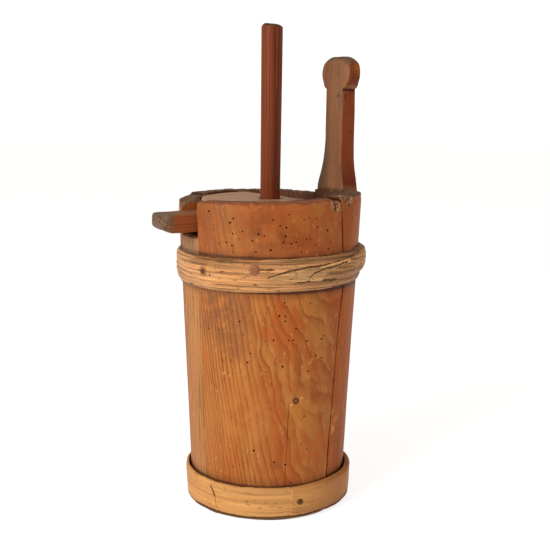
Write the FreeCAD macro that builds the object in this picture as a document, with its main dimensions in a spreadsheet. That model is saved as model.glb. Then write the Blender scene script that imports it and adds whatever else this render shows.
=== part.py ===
"""Stave butter churn: eight tapered staves round a grooved-in bottom, two wooden hoops,
a loose lid with a tab, and a dasher that slides through the lid. Millimetres, +Z up, origin
at the middle of the foot, +X towards the stave that carries the handle."""
import FreeCAD, Part
import math
import os

import Sketcher

Vector = FreeCAD.Vector
Rotation = FreeCAD.Rotation
Z_AXIS = Vector(0, 0, 1)

SIZES = [
    ("rim_height", 357), ("rim_radius", 105), ("foot_radius", 89.7), ("wall", 24),
    ("rim_bevel", 2.5),
    # width of each stave as an angle about the axis, and how high it stands
    ("handle_sweep", 38), ("handle_top", 360.5),
    ("right_sweep", 49.6), ("right_top", 364),
    ("front_sweep", 100.1), ("front_top", 363),
    ("notch_sweep", 22.6), ("notch_top", 318),
    ("back_left_sweep", 40.7), ("back_left_top", 354.5),
    ("back_sweep", 40), ("back_top", 357),
    ("back_middle_sweep", 44), ("back_middle_top", 356.5),
    ("back_right_top", 355.6),
    ("front_drop", 5.5), ("notch_width", 41),
    # how far shapes used only for cutting reach past what they cut
    ("room", 30), ("notch_room", 10),
    # groove for the bottom board, and the board
    ("groove_low", 18), ("groove_high", 27), ("groove_depth", 6),
    ("board_top", 33), ("board_gap", 0.3),
    # the board-shaped grip that rises from the handle stave
    ("grip_inner", 84.5), ("grip_outer", 103), ("grip_foot_inner", 81),
    ("grip_half_width", 17.8), ("foot_half_width", 30.5), ("foot_curve_top", 420),
    ("knob_low", 480), ("knob_top", 517), ("knob_half_width", 32), ("knob_swell", 0.4),
    ("knob_flat", 10), ("knob_curve_low", 19), ("knob_curve_top", 21.5),
    ("foot_curve", 142), ("grip_root", 352), ("knob_ease", 8),
    # hoops, each a band round the taper, with their lean
    ("upper_hoop_height", 37), ("upper_hoop_middle", 282.5), ("upper_hoop_lean", 1.5),
    ("upper_hoop_thick", 4.2), ("upper_hoop_thin", 3), ("upper_hoop_round", 52),
    ("lower_hoop_height", 38.4), ("lower_hoop_middle", 20.4), ("lower_hoop_lean", 0.6),
    ("lower_hoop_thick", 4), ("lower_hoop_thin", 4), ("lower_hoop_round", 160),
    ("lap_sweep", 100), ("lap_thick", 3.2), ("lap_margin", 1.5), ("lap_past_peg", 7),
    # pegs that hold the hoop ends
    ("upper_peg_radius", 4.9), ("upper_peg_angle", -127.6), ("upper_peg_height", 290),
    ("lower_peg_radius", 3), ("lower_peg_angle", -96.2), ("lower_peg_height", 22),
    ("peg_length", 18), ("peg_proud", 0.6),
    # lid disc, sloping away towards the handle, with a housed bar whose end is the tab
    ("lid_top", 355.3), ("lid_bottom", 334), ("lid_gap", 0.6), ("lid_bevel", 1.5),
    ("lid_slope_start", 8), ("lid_slope_drop", 9.3), ("rod_hole_radius", 13),
    ("bar_top", 344.2), ("bar_bottom", 323.6), ("bar_half_width", 17.5), ("bar_dovetail", 2),
    ("bar_end", 55), ("tab_end", 143), ("tab_root", 82), ("tab_half_width", 18.5),
    ("tab_lift", 7), ("tab_slope", 14), ("tab_chamfer", 2), ("tab_round", 18.87),
    ("tab_past", 1),
    # dasher: rod, pierced disc and the wedge that spreads the rod's tenon
    ("rod_top", 551), ("rod_radius_top", 12.1), ("rod_radius_low", 10.5), ("rod_chamfer", 3),
    ("disc_bottom", 34), ("disc_thickness", 18), ("disc_radius", 62), ("tenon_radius", 8),
    ("disc_edge", 2), ("disc_hole_radius", 9), ("disc_hole_circle", 38), ("disc_hole_count", 6),
    ("wedge_thickness", 3), ("wedge_tip", 1.2), ("wedge_length", 15), ("wedge_width", 12.8),
]

doc = FreeCAD.newDocument("butter_churn")
sheet = doc.addObject("Spreadsheet::Sheet", "dims")
for row, (alias, number) in enumerate(SIZES, start=1):
    sheet.set(f"A{row}", alias)
    sheet.set(f"B{row}", str(number))
    sheet.setAlias(f"B{row}", alias)
doc.recompute()

TAPER = "(dims.rim_radius - dims.foot_radius) / dims.rim_height"
LEAN_TOWARDS = Vector(0.871, -0.491, 0)
nodes = []


def value(expression):
    """The number that an expression over the sheet gives now."""
    return float(sheet.evalExpression(expression))


def outside(height):
    """Expression for the radius of the staves' outer face at a height."""
    return f"(dims.foot_radius + {TAPER} * ({height}))"


def inside(height):
    """Expression for the radius of the staves' inner face at a height."""
    return f"({outside(height)} - dims.wall)"


def keep(item, label):
    """Name an object as one of the churn's separate pieces."""
    item.Label = label
    nodes.append(item)
    return item


def new_body(name):
    return doc.addObject("PartDesign::Body", name)


def plane_of(body, role):
    return next(item for item in body.Origin.OriginFeatures if item.Role == role)


def arc_centre(start, end, radius):
    """Centre of the short arc from start to end: on the left of that line if radius > 0."""
    chord = end - start
    to_left = Vector(-chord.y, chord.x, 0).normalize()
    height = math.sqrt(radius ** 2 - (chord.Length / 2) ** 2)
    return (start + end) * 0.5 + to_left * math.copysign(height, radius)


def outline(body, name, role, points, shift=None):
    """Closed sketch on one of the body's planes. Each point is a pair of expressions; a third
    one is the signed radius of an arc to the next point, with its centre left of the line
    where it is positive. shift moves the sketch along the plane's normal."""
    sketch = body.newObject("Sketcher::SketchObject", name)
    sketch.AttachmentSupport = (plane_of(body, role), "")
    sketch.MapMode = "FlatFace"
    if shift is not None:
        sketch.setExpression("AttachmentOffset.Base.z", shift)
    places = [Vector(value(point[0]), value(point[1]), 0) for point in points]
    first_last = []
    for index, point in enumerate(points):
        start, end = places[index], places[(index + 1) % len(points)]
        if len(point) == 2:
            sketch.addGeometry(Part.LineSegment(start, end))
            first_last.append((1, 2))
            continue
        radius = value(point[2])
        centre = arc_centre(start, end, radius)
        middle = centre + ((start + end) * 0.5 - centre).normalize() * abs(radius)
        sketch.addGeometry(Part.Arc(start, middle, end))
        first_last.append((1, 2) if radius > 0 else (2, 1))
    for index in range(len(points)):
        following = (index + 1) % len(points)
        sketch.addConstraint(Sketcher.Constraint(
            "Coincident", index, first_last[index][1], following, first_last[following][0]))
    for index, point in enumerate(points):
        corner = first_last[index][0]
        for kind, expression, number in (("DistanceX", point[0], places[index].x),
                                         ("DistanceY", point[1], places[index].y)):
            added = sketch.addConstraint(
                Sketcher.Constraint(kind, -1, 1, index, corner, number))
            sketch.setExpression(f"Constraints[{added}]", expression)
        if len(point) == 3:
            added = sketch.addConstraint(
                Sketcher.Constraint("Radius", index, abs(value(point[2]))))
            sketch.setExpression(f"Constraints[{added}]", f"abs({point[2]})")
    return sketch


def mirrored(half):
    """A symmetrical outline from its right half, bottom to top: the left half repeats it."""
    left = []
    for index in range(len(half) - 1, -1, -1):
        bend = half[index - 1][2:] if index else ()
        left.append((f"-({half[index][0]})", half[index][1], *bend))
    right = [point if index < len(half) - 1 else point[:2] for index, point in enumerate(half)]
    return right + left


def revolve(body, sketch, angle="360"):
    """Turn a sketch about the body's Z axis, half of the angle to each side."""
    turned = body.newObject("PartDesign::Revolution", sketch.Name + "_turned")
    turned.Profile = sketch
    turned.ReferenceAxis = (sketch, ["V_Axis"])
    turned.Midplane = angle != "360"
    turned.setExpression("Angle", angle)
    return turned


def pocket_through(body, sketch):
    """Cut a sketch right through the body, both ways."""
    cut_out = body.newObject("PartDesign::Pocket", sketch.Name + "_cut")
    cut_out.Profile = sketch
    cut_out.Type = "ThroughAll"
    cut_out.Midplane = True
    return cut_out


def cut(label, base, *tools):
    """Cut each tool from the base in turn."""
    for number, tool in enumerate(tools, start=1):
        result = doc.addObject("Part::Cut", f"{label}_less_{number}")
        result.Base, result.Tool = base, tool
        base = result
    return base


def turn_about_z(item, degrees):
    item.Placement = FreeCAD.Placement(Vector(0, 0, 0), Rotation(Z_AXIS, 1))
    item.setExpression("Placement.Rotation.Angle", degrees)


# ---- staves -------------------------------------------------------------------------------

def stave_section(top):
    """Wall section: tapered, bevelled at the rim, with the groove for the bottom board."""
    bevel_at = f"({top} - dims.rim_bevel)"
    deep_low = f"({inside('dims.groove_low')} + dims.groove_depth)"
    deep_high = f"({inside('dims.groove_high')} + dims.groove_depth)"
    return [
        (inside("0"), "0"),
        (outside("0"), "0"),
        (outside(bevel_at), bevel_at),
        (f"({outside(top)} - dims.rim_bevel)", top),
        (inside(top), top),
        (inside("dims.groove_high"), "dims.groove_high"),
        (deep_high, "dims.groove_high"),
        (deep_low, "dims.groove_low"),
        (inside("dims.groove_low"), "dims.groove_low"),
    ]


def stave(name, sweep, top, middle):
    body = new_body(name + "_wood")
    revolve(body, outline(body, name + "_section", "XZ_Plane", stave_section(top)), sweep)
    turn_about_z(body, middle)
    return body


def build_staves():
    """Staves in order clockwise from the handle, each beginning where the last one ends."""
    staves, passed = {}, "0"
    order = ["handle", "right", "front", "notch", "back_left", "back", "back_middle"]
    for name in order:
        sweep = f"dims.{name}_sweep"
        middle = "0" if name == "handle" else f"-({passed} + {sweep} / 2)"
        staves[name] = stave(name, sweep, f"dims.{name}_top", middle)
        passed = f"{sweep} / 2" if name == "handle" else f"{passed} + {sweep}"
    rest = f"(360 - dims.handle_sweep / 2 - ({passed}))"
    middle = f"-({passed} + {rest} / 2)"
    staves["back_right"] = stave("back_right", rest, "dims.back_right_top", middle)
    return staves


def slope_front_rim(body):
    """The wide front stave's rim runs downhill towards the notch."""
    across = "dims.rim_radius"
    high, low = "dims.front_top", "(dims.front_top - dims.front_drop)"
    slope = outline(body, "front_rim_slope", "YZ_Plane", [
        (f"-{across}", low), (across, high),
        (across, f"{high} + dims.room"), (f"-{across}", f"{high} + dims.room")])
    pocket_through(body, slope)


# ---- grip on the handle stave -------------------------------------------------------------

def build_grip():
    """A board seen from inside as foot, neck and knob, cut to its side view's thickness. It
    keeps the round outside of its stave, and its foot keeps within the stave's joints."""
    face = new_body("grip_face")
    face_outline = mirrored([
        ("dims.foot_half_width", "dims.grip_root"),
        ("dims.foot_half_width", "dims.handle_top", "-dims.foot_curve"),
        ("dims.grip_half_width", "dims.foot_curve_top"),
        ("dims.grip_half_width", "dims.knob_low", "dims.knob_curve_low"),
        ("dims.knob_half_width", "(dims.knob_low + dims.knob_top) / 2",
         "dims.knob_curve_top"),
        ("dims.knob_flat", "dims.knob_top"),
    ])
    pad = face.newObject("PartDesign::Pad", "grip_face_pad")
    pad.Profile = outline(face, "grip_face_outline", "YZ_Plane", face_outline)
    pad.setExpression("Length", "dims.rim_radius + dims.room")

    side = new_body("grip_side")
    side_outline = outline(side, "grip_side_outline", "XZ_Plane", [
        ("dims.grip_foot_inner", "dims.grip_root"),
        ("dims.grip_outer", "dims.grip_root"),
        ("dims.grip_outer", "dims.knob_low"),
        ("dims.grip_outer + dims.knob_swell", "dims.knob_low + dims.knob_ease"),
        ("dims.grip_outer + dims.knob_swell", "dims.knob_top"),
        ("dims.grip_inner - dims.knob_swell", "dims.knob_top"),
        ("dims.grip_inner - dims.knob_swell", "dims.knob_low + dims.knob_ease"),
        ("dims.grip_inner", "dims.knob_low"),
        ("dims.grip_inner", "dims.foot_curve_top"),
        ("dims.grip_foot_inner", "dims.handle_top"),
    ])
    slab = side.newObject("PartDesign::Pad", "grip_side_pad")
    slab.Profile = side_outline
    slab.Midplane = True
    slab.setExpression("Length", "4 * dims.knob_half_width")

    board = doc.addObject("Part::Common", "grip_board")
    board.Base, board.Tool = face, side
    outside_round = doc.addObject("Part::Cylinder", "grip_outside")
    outside_round.setExpression("Radius", "dims.rim_radius")
    outside_round.setExpression("Height", "dims.rod_top")
    rounded = doc.addObject("Part::Common", "grip_rounded")
    rounded.Base, rounded.Tool = board, outside_round
    return cut("grip", rounded, neighbours_room())


def neighbours_room():
    """All that lies past the handle stave's joints, as high as the grip's foot."""
    body = new_body("neighbours_room")
    reach = "dims.rim_radius + dims.room"
    revolve(body, outline(body, "neighbours_room_section", "XZ_Plane", [
        ("0", "dims.grip_root"), (reach, "dims.grip_root"), (reach, "dims.foot_curve_top"),
        ("0", "dims.foot_curve_top")]), "360 - dims.handle_sweep")
    turn_about_z(body, "180")
    return body


# ---- bottom board -------------------------------------------------------------------------

def build_bottom_board():
    board = new_body("bottom_board")
    tongue_low = f"({inside('dims.groove_low')} + dims.groove_depth - dims.board_gap)"
    tongue_high = f"({inside('dims.groove_high')} + dims.groove_depth - dims.board_gap)"
    low, high, top = "dims.groove_low", "dims.groove_high", "dims.board_top"
    revolve(board, outline(board, "board_section", "XZ_Plane", [
        ("0", low), (tongue_low, low), (tongue_high, high),
        (f"{inside(high)} - dims.board_gap", high), (f"{inside(top)} - dims.board_gap", top),
        ("0", top)]))
    return board


# ---- hoops --------------------------------------------------------------------------------

def hoop_ring(name):
    """A band with a rounded face, leaning a little on the taper."""
    half, middle = f"(dims.{name}_height / 2)", f"dims.{name}_middle"
    top_radius, low_radius = outside(f"{middle} + {half}"), outside(f"{middle} - {half}")
    body = new_body(name + "_ring")
    revolve(body, outline(body, name + "_section", "XZ_Plane", [
        (f"{low_radius} - dims.wall / 4", f"-{half}"),
        (f"{low_radius} + dims.{name}_thin", f"-{half}", f"dims.{name}_round"),
        (f"{top_radius} + dims.{name}_thick", half),
        (f"{top_radius} - dims.wall / 4", half)]))
    lean_axis = Vector(LEAN_TOWARDS.y, -LEAN_TOWARDS.x, 0)
    body.Placement = FreeCAD.Placement(Vector(0, 0, 1), Rotation(lean_axis, 1))
    body.setExpression("Placement.Base.z", middle)
    body.setExpression("Placement.Rotation.Angle", f"dims.{name}_lean")
    return body


def lower_lap():
    """The lower hoop's outer end, doubled over its start and running back from the peg."""
    name, margin = "lower_hoop", "dims.lap_margin"
    half, middle = f"(dims.{name}_height / 2)", f"dims.{name}_middle"
    top_radius = outside(f"{middle} + {half}")
    low_radius = outside(f"{middle} - {half}")
    face = f"(dims.{name}_thick + dims.lap_thick)"
    body = new_body("lower_lap")
    revolve(body, outline(body, "lower_lap_section", "XZ_Plane", [
        (low_radius, f"-{half} + {margin}"),
        (f"{low_radius} + {face}", f"-{half} + {margin}"),
        (f"{top_radius} + {face}", f"{half} - {margin}"),
        (top_radius, f"{half} - {margin}")]), "dims.lap_sweep")
    body.Placement = FreeCAD.Placement(Vector(0, 0, 1), Rotation(Z_AXIS, 1))
    body.setExpression("Placement.Base.z", middle)
    body.setExpression("Placement.Rotation.Angle",
                       "dims.lower_peg_angle + dims.lap_sweep / 2 - dims.lap_past_peg")
    return body


def stave_cone():
    """The whole outer taper as one solid, which fits each hoop to the staves."""
    cone = doc.addObject("Part::Cone", "stave_cone")
    cone.setExpression("Radius1", outside("-dims.room"))
    cone.setExpression("Radius2", outside("dims.rim_height + dims.room"))
    cone.setExpression("Height", "dims.rim_height + 2 * dims.room")
    cone.setExpression("Placement.Base.z", "-dims.room")
    return cone


def peg(name):
    """A round peg driven straight in towards the churn's axis."""
    pin = doc.addObject("Part::Cylinder", name)
    pin.setExpression("Radius", f"dims.{name}_radius")
    pin.setExpression("Height", "dims.peg_length")
    angle = value(f"dims.{name}_angle")
    outward = Vector(math.cos(math.radians(angle)), math.sin(math.radians(angle)), 0)
    pin.Placement = FreeCAD.Placement(Vector(0, 0, 0), Rotation(Z_AXIS, outward))
    hoop = name.replace("peg", "hoop")
    lap = "dims.lap_thick" if name == "lower_peg" else "0"
    height = f"dims.{name}_height"
    start = (f"({outside(height)} + dims.{hoop}_thick + {lap}"
             f" + dims.peg_proud - dims.peg_length)")
    pin.setExpression("Placement.Base.x", f"{start} * cos(dims.{name}_angle * 1deg)")
    pin.setExpression("Placement.Base.y", f"{start} * sin(dims.{name}_angle * 1deg)")
    pin.setExpression("Placement.Base.z", height)
    return pin


# ---- lid ----------------------------------------------------------------------------------

def build_lid_board():
    """Disc with a bevelled edge, a hole for the rod and a housing for the bar."""
    board = new_body("lid_disc")
    top, low, bevel = "dims.lid_top", "dims.lid_bottom", "dims.lid_bevel"
    revolve(board, outline(board, "lid_section", "XZ_Plane", [
        ("dims.rod_hole_radius", low),
        (f"{inside(low)} - dims.lid_gap", low),
        (f"{inside(low)} - dims.lid_gap", f"{top} - {bevel}"),
        (f"{inside(low)} - dims.lid_gap - {bevel}", top),
        ("dims.rod_hole_radius", top)]))
    reach = "dims.rim_radius"
    drop = f"({reach} - dims.lid_slope_start) / (dims.rim_radius - dims.wall" \
           f" - dims.lid_slope_start) * dims.lid_slope_drop"
    slope = outline(board, "lid_slope", "XZ_Plane", [
        ("dims.lid_slope_start", top), (reach, f"{top} - {drop}"),
        (reach, f"{top} + dims.room"), ("dims.lid_slope_start", f"{top} + dims.room")])
    pocket_through(board, slope)
    return board


def bar_section():
    """Dovetailed above the lid's underside, plain below it."""
    narrow = "(dims.bar_half_width - dims.bar_dovetail)"
    return mirrored([(narrow, "dims.bar_bottom"), (narrow, "dims.lid_bottom"),
                     ("dims.bar_half_width", "dims.bar_top")])


def build_lid_bar():
    """Bar housed in the lid's underside; its far end is the rounded tab."""
    bar = new_body("lid_bar")
    length = "(dims.bar_end + dims.tab_root)"
    inner = bar.newObject("PartDesign::Pad", "bar_pad")
    inner.Profile = outline(bar, "bar_section", "YZ_Plane", bar_section(), "-dims.tab_root")
    inner.setExpression("Length", length)

    half = "dims.tab_half_width"
    straight = f"-(dims.tab_end - {half})"
    tab = bar.newObject("PartDesign::Pad", "tab_pad")
    tab.Profile = outline(bar, "tab_plan", "XY_Plane", [
        ("-dims.tab_root", half), (straight, half, "dims.tab_round"),
        ("-dims.tab_end", "0", "dims.tab_round"), (straight, f"-{half}"),
        ("-dims.tab_root", f"-{half}")], "dims.bar_bottom")
    tab.setExpression("Length", "dims.bar_top - dims.bar_bottom")
    doc.recompute()

    rim = tab_top_edges(tab.Shape)
    eased = bar.newObject("PartDesign::Chamfer", "tab_eased")
    eased.Base = (tab, rim)
    eased.setExpression("Size", "dims.tab_chamfer")

    under = outline(bar, "tab_under", "XZ_Plane", [
        ("-(dims.tab_end - dims.tab_slope)", "dims.bar_bottom"),
        ("-(dims.tab_end + dims.tab_past)", "dims.bar_bottom + dims.tab_lift"),
        ("-(dims.tab_end + dims.tab_past)", "dims.bar_bottom - dims.room"),
        ("-(dims.tab_end - dims.tab_slope)", "dims.bar_bottom - dims.room")])
    pocket_through(bar, under)

    hole = bar.newObject("Sketcher::SketchObject", "bar_hole")
    hole.AttachmentSupport = (plane_of(bar, "XY_Plane"), "")
    hole.MapMode = "FlatFace"
    hole.addGeometry(Part.Circle(Vector(0, 0, 0), Z_AXIS, value("dims.rod_hole_radius")))
    hole.addConstraint(Sketcher.Constraint("Coincident", 0, 3, -1, 1))
    size = hole.addConstraint(Sketcher.Constraint("Radius", 0, value("dims.rod_hole_radius")))
    hole.setExpression(f"Constraints[{size}]", "dims.rod_hole_radius")
    pocket_through(bar, hole)
    return bar


def tab_top_edges(shape):
    """Names of the edges round the tab's top face, outside the lid."""
    names = []
    for number, edge in enumerate(shape.Edges, start=1):
        box = edge.BoundBox
        on_top = abs(box.ZMin - value("dims.bar_top")) < 1e-4 and box.ZLength < 1e-4
        if on_top and box.XMax < -value("dims.tab_root") + 1e-3 and box.XLength > 1:
            names.append(f"Edge{number}")
    return names


# ---- dasher -------------------------------------------------------------------------------

def build_rod():
    """Rod with a shoulder on the disc and a tenon through it."""
    rod = new_body("dasher_rod_wood")
    disc_top = "(dims.disc_bottom + dims.disc_thickness)"
    revolve(rod, outline(rod, "rod_section", "XZ_Plane", [
        ("0", "dims.disc_bottom"), ("dims.tenon_radius", "dims.disc_bottom"),
        ("dims.tenon_radius", disc_top), ("dims.rod_radius_low", disc_top),
        ("dims.rod_radius_top", "dims.rod_top - dims.rod_chamfer"),
        ("dims.rod_radius_top - dims.rod_chamfer", "dims.rod_top"), ("0", "dims.rod_top")]))
    return rod


def build_wedge():
    """Thin wedge driven up into the tenon's end."""
    wedge = new_body("dasher_wedge")
    pad = wedge.newObject("PartDesign::Pad", "wedge_pad")
    pad.Profile = outline(wedge, "wedge_side", "XZ_Plane", mirrored([
        ("dims.wedge_thickness / 2", "dims.disc_bottom"),
        ("dims.wedge_tip / 2", "dims.disc_bottom + dims.wedge_length")]))
    pad.Midplane = True
    pad.setExpression("Length", "dims.wedge_width")
    return wedge


def build_disc():
    """Pierced disc on the rod's tenon."""
    disc = new_body("dasher_disc")
    low, high = "dims.disc_bottom", "(dims.disc_bottom + dims.disc_thickness)"
    edge, radius = "dims.disc_edge", "dims.disc_radius"
    revolve(disc, outline(disc, "disc_section", "XZ_Plane", [
        ("dims.tenon_radius", low), (f"{radius} - {edge}", low), (radius, f"{low} + {edge}"),
        (radius, f"{high} - {edge}"), (f"{radius} - {edge}", high),
        ("dims.tenon_radius", high)]))
    hole = disc.newObject("Sketcher::SketchObject", "disc_hole")
    hole.AttachmentSupport = (plane_of(disc, "XY_Plane"), "")
    hole.MapMode = "FlatFace"
    place = Vector(value("dims.disc_hole_circle"), 0, 0)
    hole.addGeometry(Part.Circle(place, Z_AXIS, value("dims.disc_hole_radius")))
    for kind, alias, ends in (("DistanceX", "disc_hole_circle", (-1, 1, 0, 3)),
                              ("Radius", "disc_hole_radius", (0,))):
        added = hole.addConstraint(Sketcher.Constraint(kind, *ends, value(f"dims.{alias}")))
        hole.setExpression(f"Constraints[{added}]", f"dims.{alias}")
    hole.addConstraint(Sketcher.Constraint("PointOnObject", 0, 3, -1))
    drilled = pocket_through(disc, hole)
    ring = disc.newObject("PartDesign::PolarPattern", "disc_hole_ring")
    ring.Originals = [drilled]
    ring.Axis = (hole, ["N_Axis"])
    ring.Angle = 360
    ring.setExpression("Occurrences", "dims.disc_hole_count")
    disc.Tip = ring
    return disc


# ---- assembly -----------------------------------------------------------------------------

def build():
    staves = build_staves()
    slope_front_rim(staves["front"])
    upper_peg, lower_peg = peg("upper_peg"), peg("lower_peg")
    cone = stave_cone()

    notch_space = doc.addObject("Part::Box", "notch_space")
    notch_space.setExpression("Length", "dims.wall + dims.room")
    notch_space.setExpression("Width", "dims.notch_width")
    notch_space.setExpression("Height", "2 * dims.room")
    notch_space.setExpression("Placement.Base.x", "-dims.rim_radius - dims.notch_room")
    notch_space.setExpression("Placement.Base.y", "-dims.notch_width / 2")
    notch_space.setExpression("Placement.Base.z", "dims.notch_top")

    handle_stave = doc.addObject("Part::Fuse", "handle_stave_with_grip")
    handle_stave.Base, handle_stave.Tool = staves["handle"], build_grip()
    keep(handle_stave, "handle_stave")
    keep(cut("front_stave", staves["front"], upper_peg, lower_peg, notch_space), "front_stave")
    keep(cut("back_left_stave", staves["back_left"], notch_space), "back_left_stave")
    for name in ("right", "notch", "back", "back_middle", "back_right"):
        keep(staves[name], f"{name}_stave")

    upper_ring = cut("upper_hoop", hoop_ring("upper_hoop"), cone, upper_peg)
    keep(upper_ring, "upper_hoop")
    doubled = doc.addObject("Part::Fuse", "lower_hoop_doubled")
    doubled.Base, doubled.Tool = hoop_ring("lower_hoop"), lower_lap()
    keep(cut("lower_hoop", doubled, cone, lower_peg), "lower_hoop")
    keep(upper_peg, "upper_hoop_peg")
    keep(lower_peg, "lower_hoop_peg")
    keep(build_bottom_board(), "bottom_board")

    lid_bar = build_lid_bar()
    keep(cut("lid_board", build_lid_board(), lid_bar), "lid_board")
    keep(lid_bar, "lid_bar")

    wedge = build_wedge()
    keep(cut("dasher_rod", build_rod(), wedge), "dasher_rod")
    keep(wedge, "dasher_wedge")
    keep(build_disc(), "dasher_disc")


def check():
    """Stop on any object that failed or any piece that isn't one or more valid solids."""
    for item in doc.Objects:
        if {"Invalid", "Error"} & set(item.State):
            raise RuntimeError(f"{item.Label} failed: {item.State}")
    for item in nodes:
        if item.Shape.isNull() or not item.Shape.isValid() or not item.Shape.Solids:
            raise RuntimeError(f"{item.Label} has no valid solid")


build()
doc.recompute()
check()
os.makedirs("parts", exist_ok=True)
for item in nodes:
    item.Shape.exportStep(f"parts/{item.Label}.step")
    box = item.Shape.BoundBox
    print(f"{item.Label}: {len(item.Shape.Solids)} solid, {item.Shape.Volume / 1000:.1f} cm3,"
          f" z {box.ZMin:.1f} to {box.ZMax:.1f}")
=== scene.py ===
"""An old stave butter churn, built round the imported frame: every visible piece is meshed here
in metres, in the frame's own axes (+Z up, +X towards the stave with the grip)."""
import math

import bmesh
import bpy
import numpy as np
from mathutils import Matrix, Vector


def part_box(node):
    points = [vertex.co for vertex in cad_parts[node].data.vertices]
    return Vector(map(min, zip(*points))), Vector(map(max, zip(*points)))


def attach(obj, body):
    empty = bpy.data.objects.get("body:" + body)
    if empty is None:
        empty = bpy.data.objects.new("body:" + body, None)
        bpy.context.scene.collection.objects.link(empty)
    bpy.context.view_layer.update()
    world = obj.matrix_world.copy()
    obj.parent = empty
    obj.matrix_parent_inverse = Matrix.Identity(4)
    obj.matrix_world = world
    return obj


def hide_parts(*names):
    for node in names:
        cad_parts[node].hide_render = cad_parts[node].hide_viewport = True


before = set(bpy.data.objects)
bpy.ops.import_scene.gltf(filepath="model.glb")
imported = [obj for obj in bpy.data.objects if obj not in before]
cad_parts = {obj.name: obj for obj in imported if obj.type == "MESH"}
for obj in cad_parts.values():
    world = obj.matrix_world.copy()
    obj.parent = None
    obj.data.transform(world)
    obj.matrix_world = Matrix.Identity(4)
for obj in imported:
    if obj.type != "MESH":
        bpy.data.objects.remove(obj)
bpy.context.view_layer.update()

MM = 0.001


def top_of(node):
    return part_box(node)[1].z


def foot_of(node):
    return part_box(node)[0].z


# ---- driving dimensions, in metres and degrees --------------------------------------------

RIM_RADIUS, FOOT_RADIUS, WALL = 105 * MM, 89.7 * MM, 24 * MM
RIM_HEIGHT = top_of("back_stave")
NOTCH_FLOOR, NOTCH_HALF = top_of("notch_stave"), 20.5 * MM
# bearing, counter-clockwise from +X, of the joint where each stave begins going clockwise
JOINTS = {"handle": 19, "right": -19, "front": -68.6, "notch": -168.7, "back_left": 168.7,
          "back": 128, "back_middle": 88, "back_right": 44}
CAMERA_BEARING = -119.4     # where the camera stands, as a bearing like the joints'
UPPER_PEG, LOWER_PEG = -127.6, -96.2        # the hoop pegs' bearings
UPPER_LAP_END, LOWER_LAP_END = 150, 120     # degrees to the right of the camera's bearing
KNOT = (-100.3, 140.8 * MM)                 # bearing and height of the front stave's knot


def outer_radius(z):
    """Radius of the staves' outside at a height."""
    return FOOT_RADIUS + (RIM_RADIUS - FOOT_RADIUS) * z / RIM_HEIGHT


def polar(bearing, radius, z):
    """Points from bearings in degrees, radii and heights."""
    turn = np.radians(bearing)
    return np.stack([radius * np.cos(turn), radius * np.sin(turn), z + 0 * turn], -1)


def on_skin(bearing, z):
    """The place on the staves' outside at a bearing and a height."""
    return polar(bearing, outer_radius(z), z)


# ---- shaping helpers ----------------------------------------------------------------------

def mm(*lengths):
    return [length * MM for length in lengths]


def waves(points, size, seed, count=9):
    """Smooth bumps between about -1 and 1: seeded waves whose lengths are near size, which is
    one length or one for each axis."""
    rng = np.random.default_rng(seed)
    way = rng.normal(size=(count, 3))
    way /= np.linalg.norm(way, axis=1)[:, None]
    way *= rng.uniform(0.6, 1.6, (count, 1))
    phase = rng.uniform(0, 2 * math.pi, count)
    turns = (np.asarray(points) / size) @ way.T * 2 * math.pi + phase
    return np.cos(turns).sum(-1) / math.sqrt(count * 2)


def bumps(points, size, rise, seed, count=9):
    """Waves whose size and rise are in millimetres."""
    return waves(points, np.multiply(size, MM), seed, count) * rise * MM


def smooth(value, low, high):
    """0 below low, 1 above high, and an S between."""
    t = np.clip((np.asarray(value, float) - low) / (high - low), 0, 1)
    return t * t * (3 - 2 * t)


def bell(value, width):
    return np.exp(-(value / width) ** 2)


def crown(share):
    """0 at both ends of the share and 1 in its middle."""
    return 4 * share * (1 - share)


def spaced(low, high, step, edge, fine):
    """Places from low to high about a step apart, closer within edge of both ends."""
    near = np.arange(0, edge, fine)
    middle = np.linspace(low + edge, high - edge, max(2, round((high - low - 2 * edge) / step)))
    return np.concatenate([low + near, middle, high - near[::-1]])


def eased(count):
    """Shares from 0 to 1, closer together at both ends."""
    return 0.5 - 0.5 * np.cos(np.linspace(0, math.pi, count))


def full_turn(count):
    """Angles in radians, evenly round a circle."""
    return np.linspace(0, 2 * math.pi, count, endpoint=False)


def tip_steps(end, length, count):
    """Places over the last length before an end, closer together towards the end."""
    return end - length * (1 - np.sin(np.linspace(0, math.pi / 2, count)))[1:]


def linked(name, data):
    """A new object in the scene."""
    made = bpy.data.objects.new(name, data)
    bpy.context.scene.collection.objects.link(made)
    return made


def edit(mesh, change):
    """Apply a change to a mesh opened as a bmesh."""
    shell = bmesh.new()
    shell.from_mesh(mesh)
    change(shell)
    shell.to_mesh(mesh)
    shell.free()


def new_piece(name, verts, faces, material=None, sharp=40):
    """A mesh object with outward faces, smooth but for edges sharper than an angle."""
    def weld(shell):
        bmesh.ops.remove_doubles(shell, verts=shell.verts, dist=1e-7)
        bmesh.ops.recalc_face_normals(shell, faces=shell.faces)

    mesh = bpy.data.meshes.new(name)
    mesh.from_pydata(np.asarray(verts).tolist(), [], faces)
    edit(mesh, weld)
    mesh.materials.append(material)
    soften(mesh, sharp)
    return linked(name, mesh)


def soften(mesh, sharp=40):
    """Smooth shading, with a crease at each edge sharper than an angle."""
    def shade(shell):
        for face in shell.faces:
            face.smooth = True
        for edge in shell.edges:
            bent = len(edge.link_faces) == 2 and edge.calc_face_angle() >= math.radians(sharp)
            edge.smooth = not bent

    edit(mesh, shade)


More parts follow.
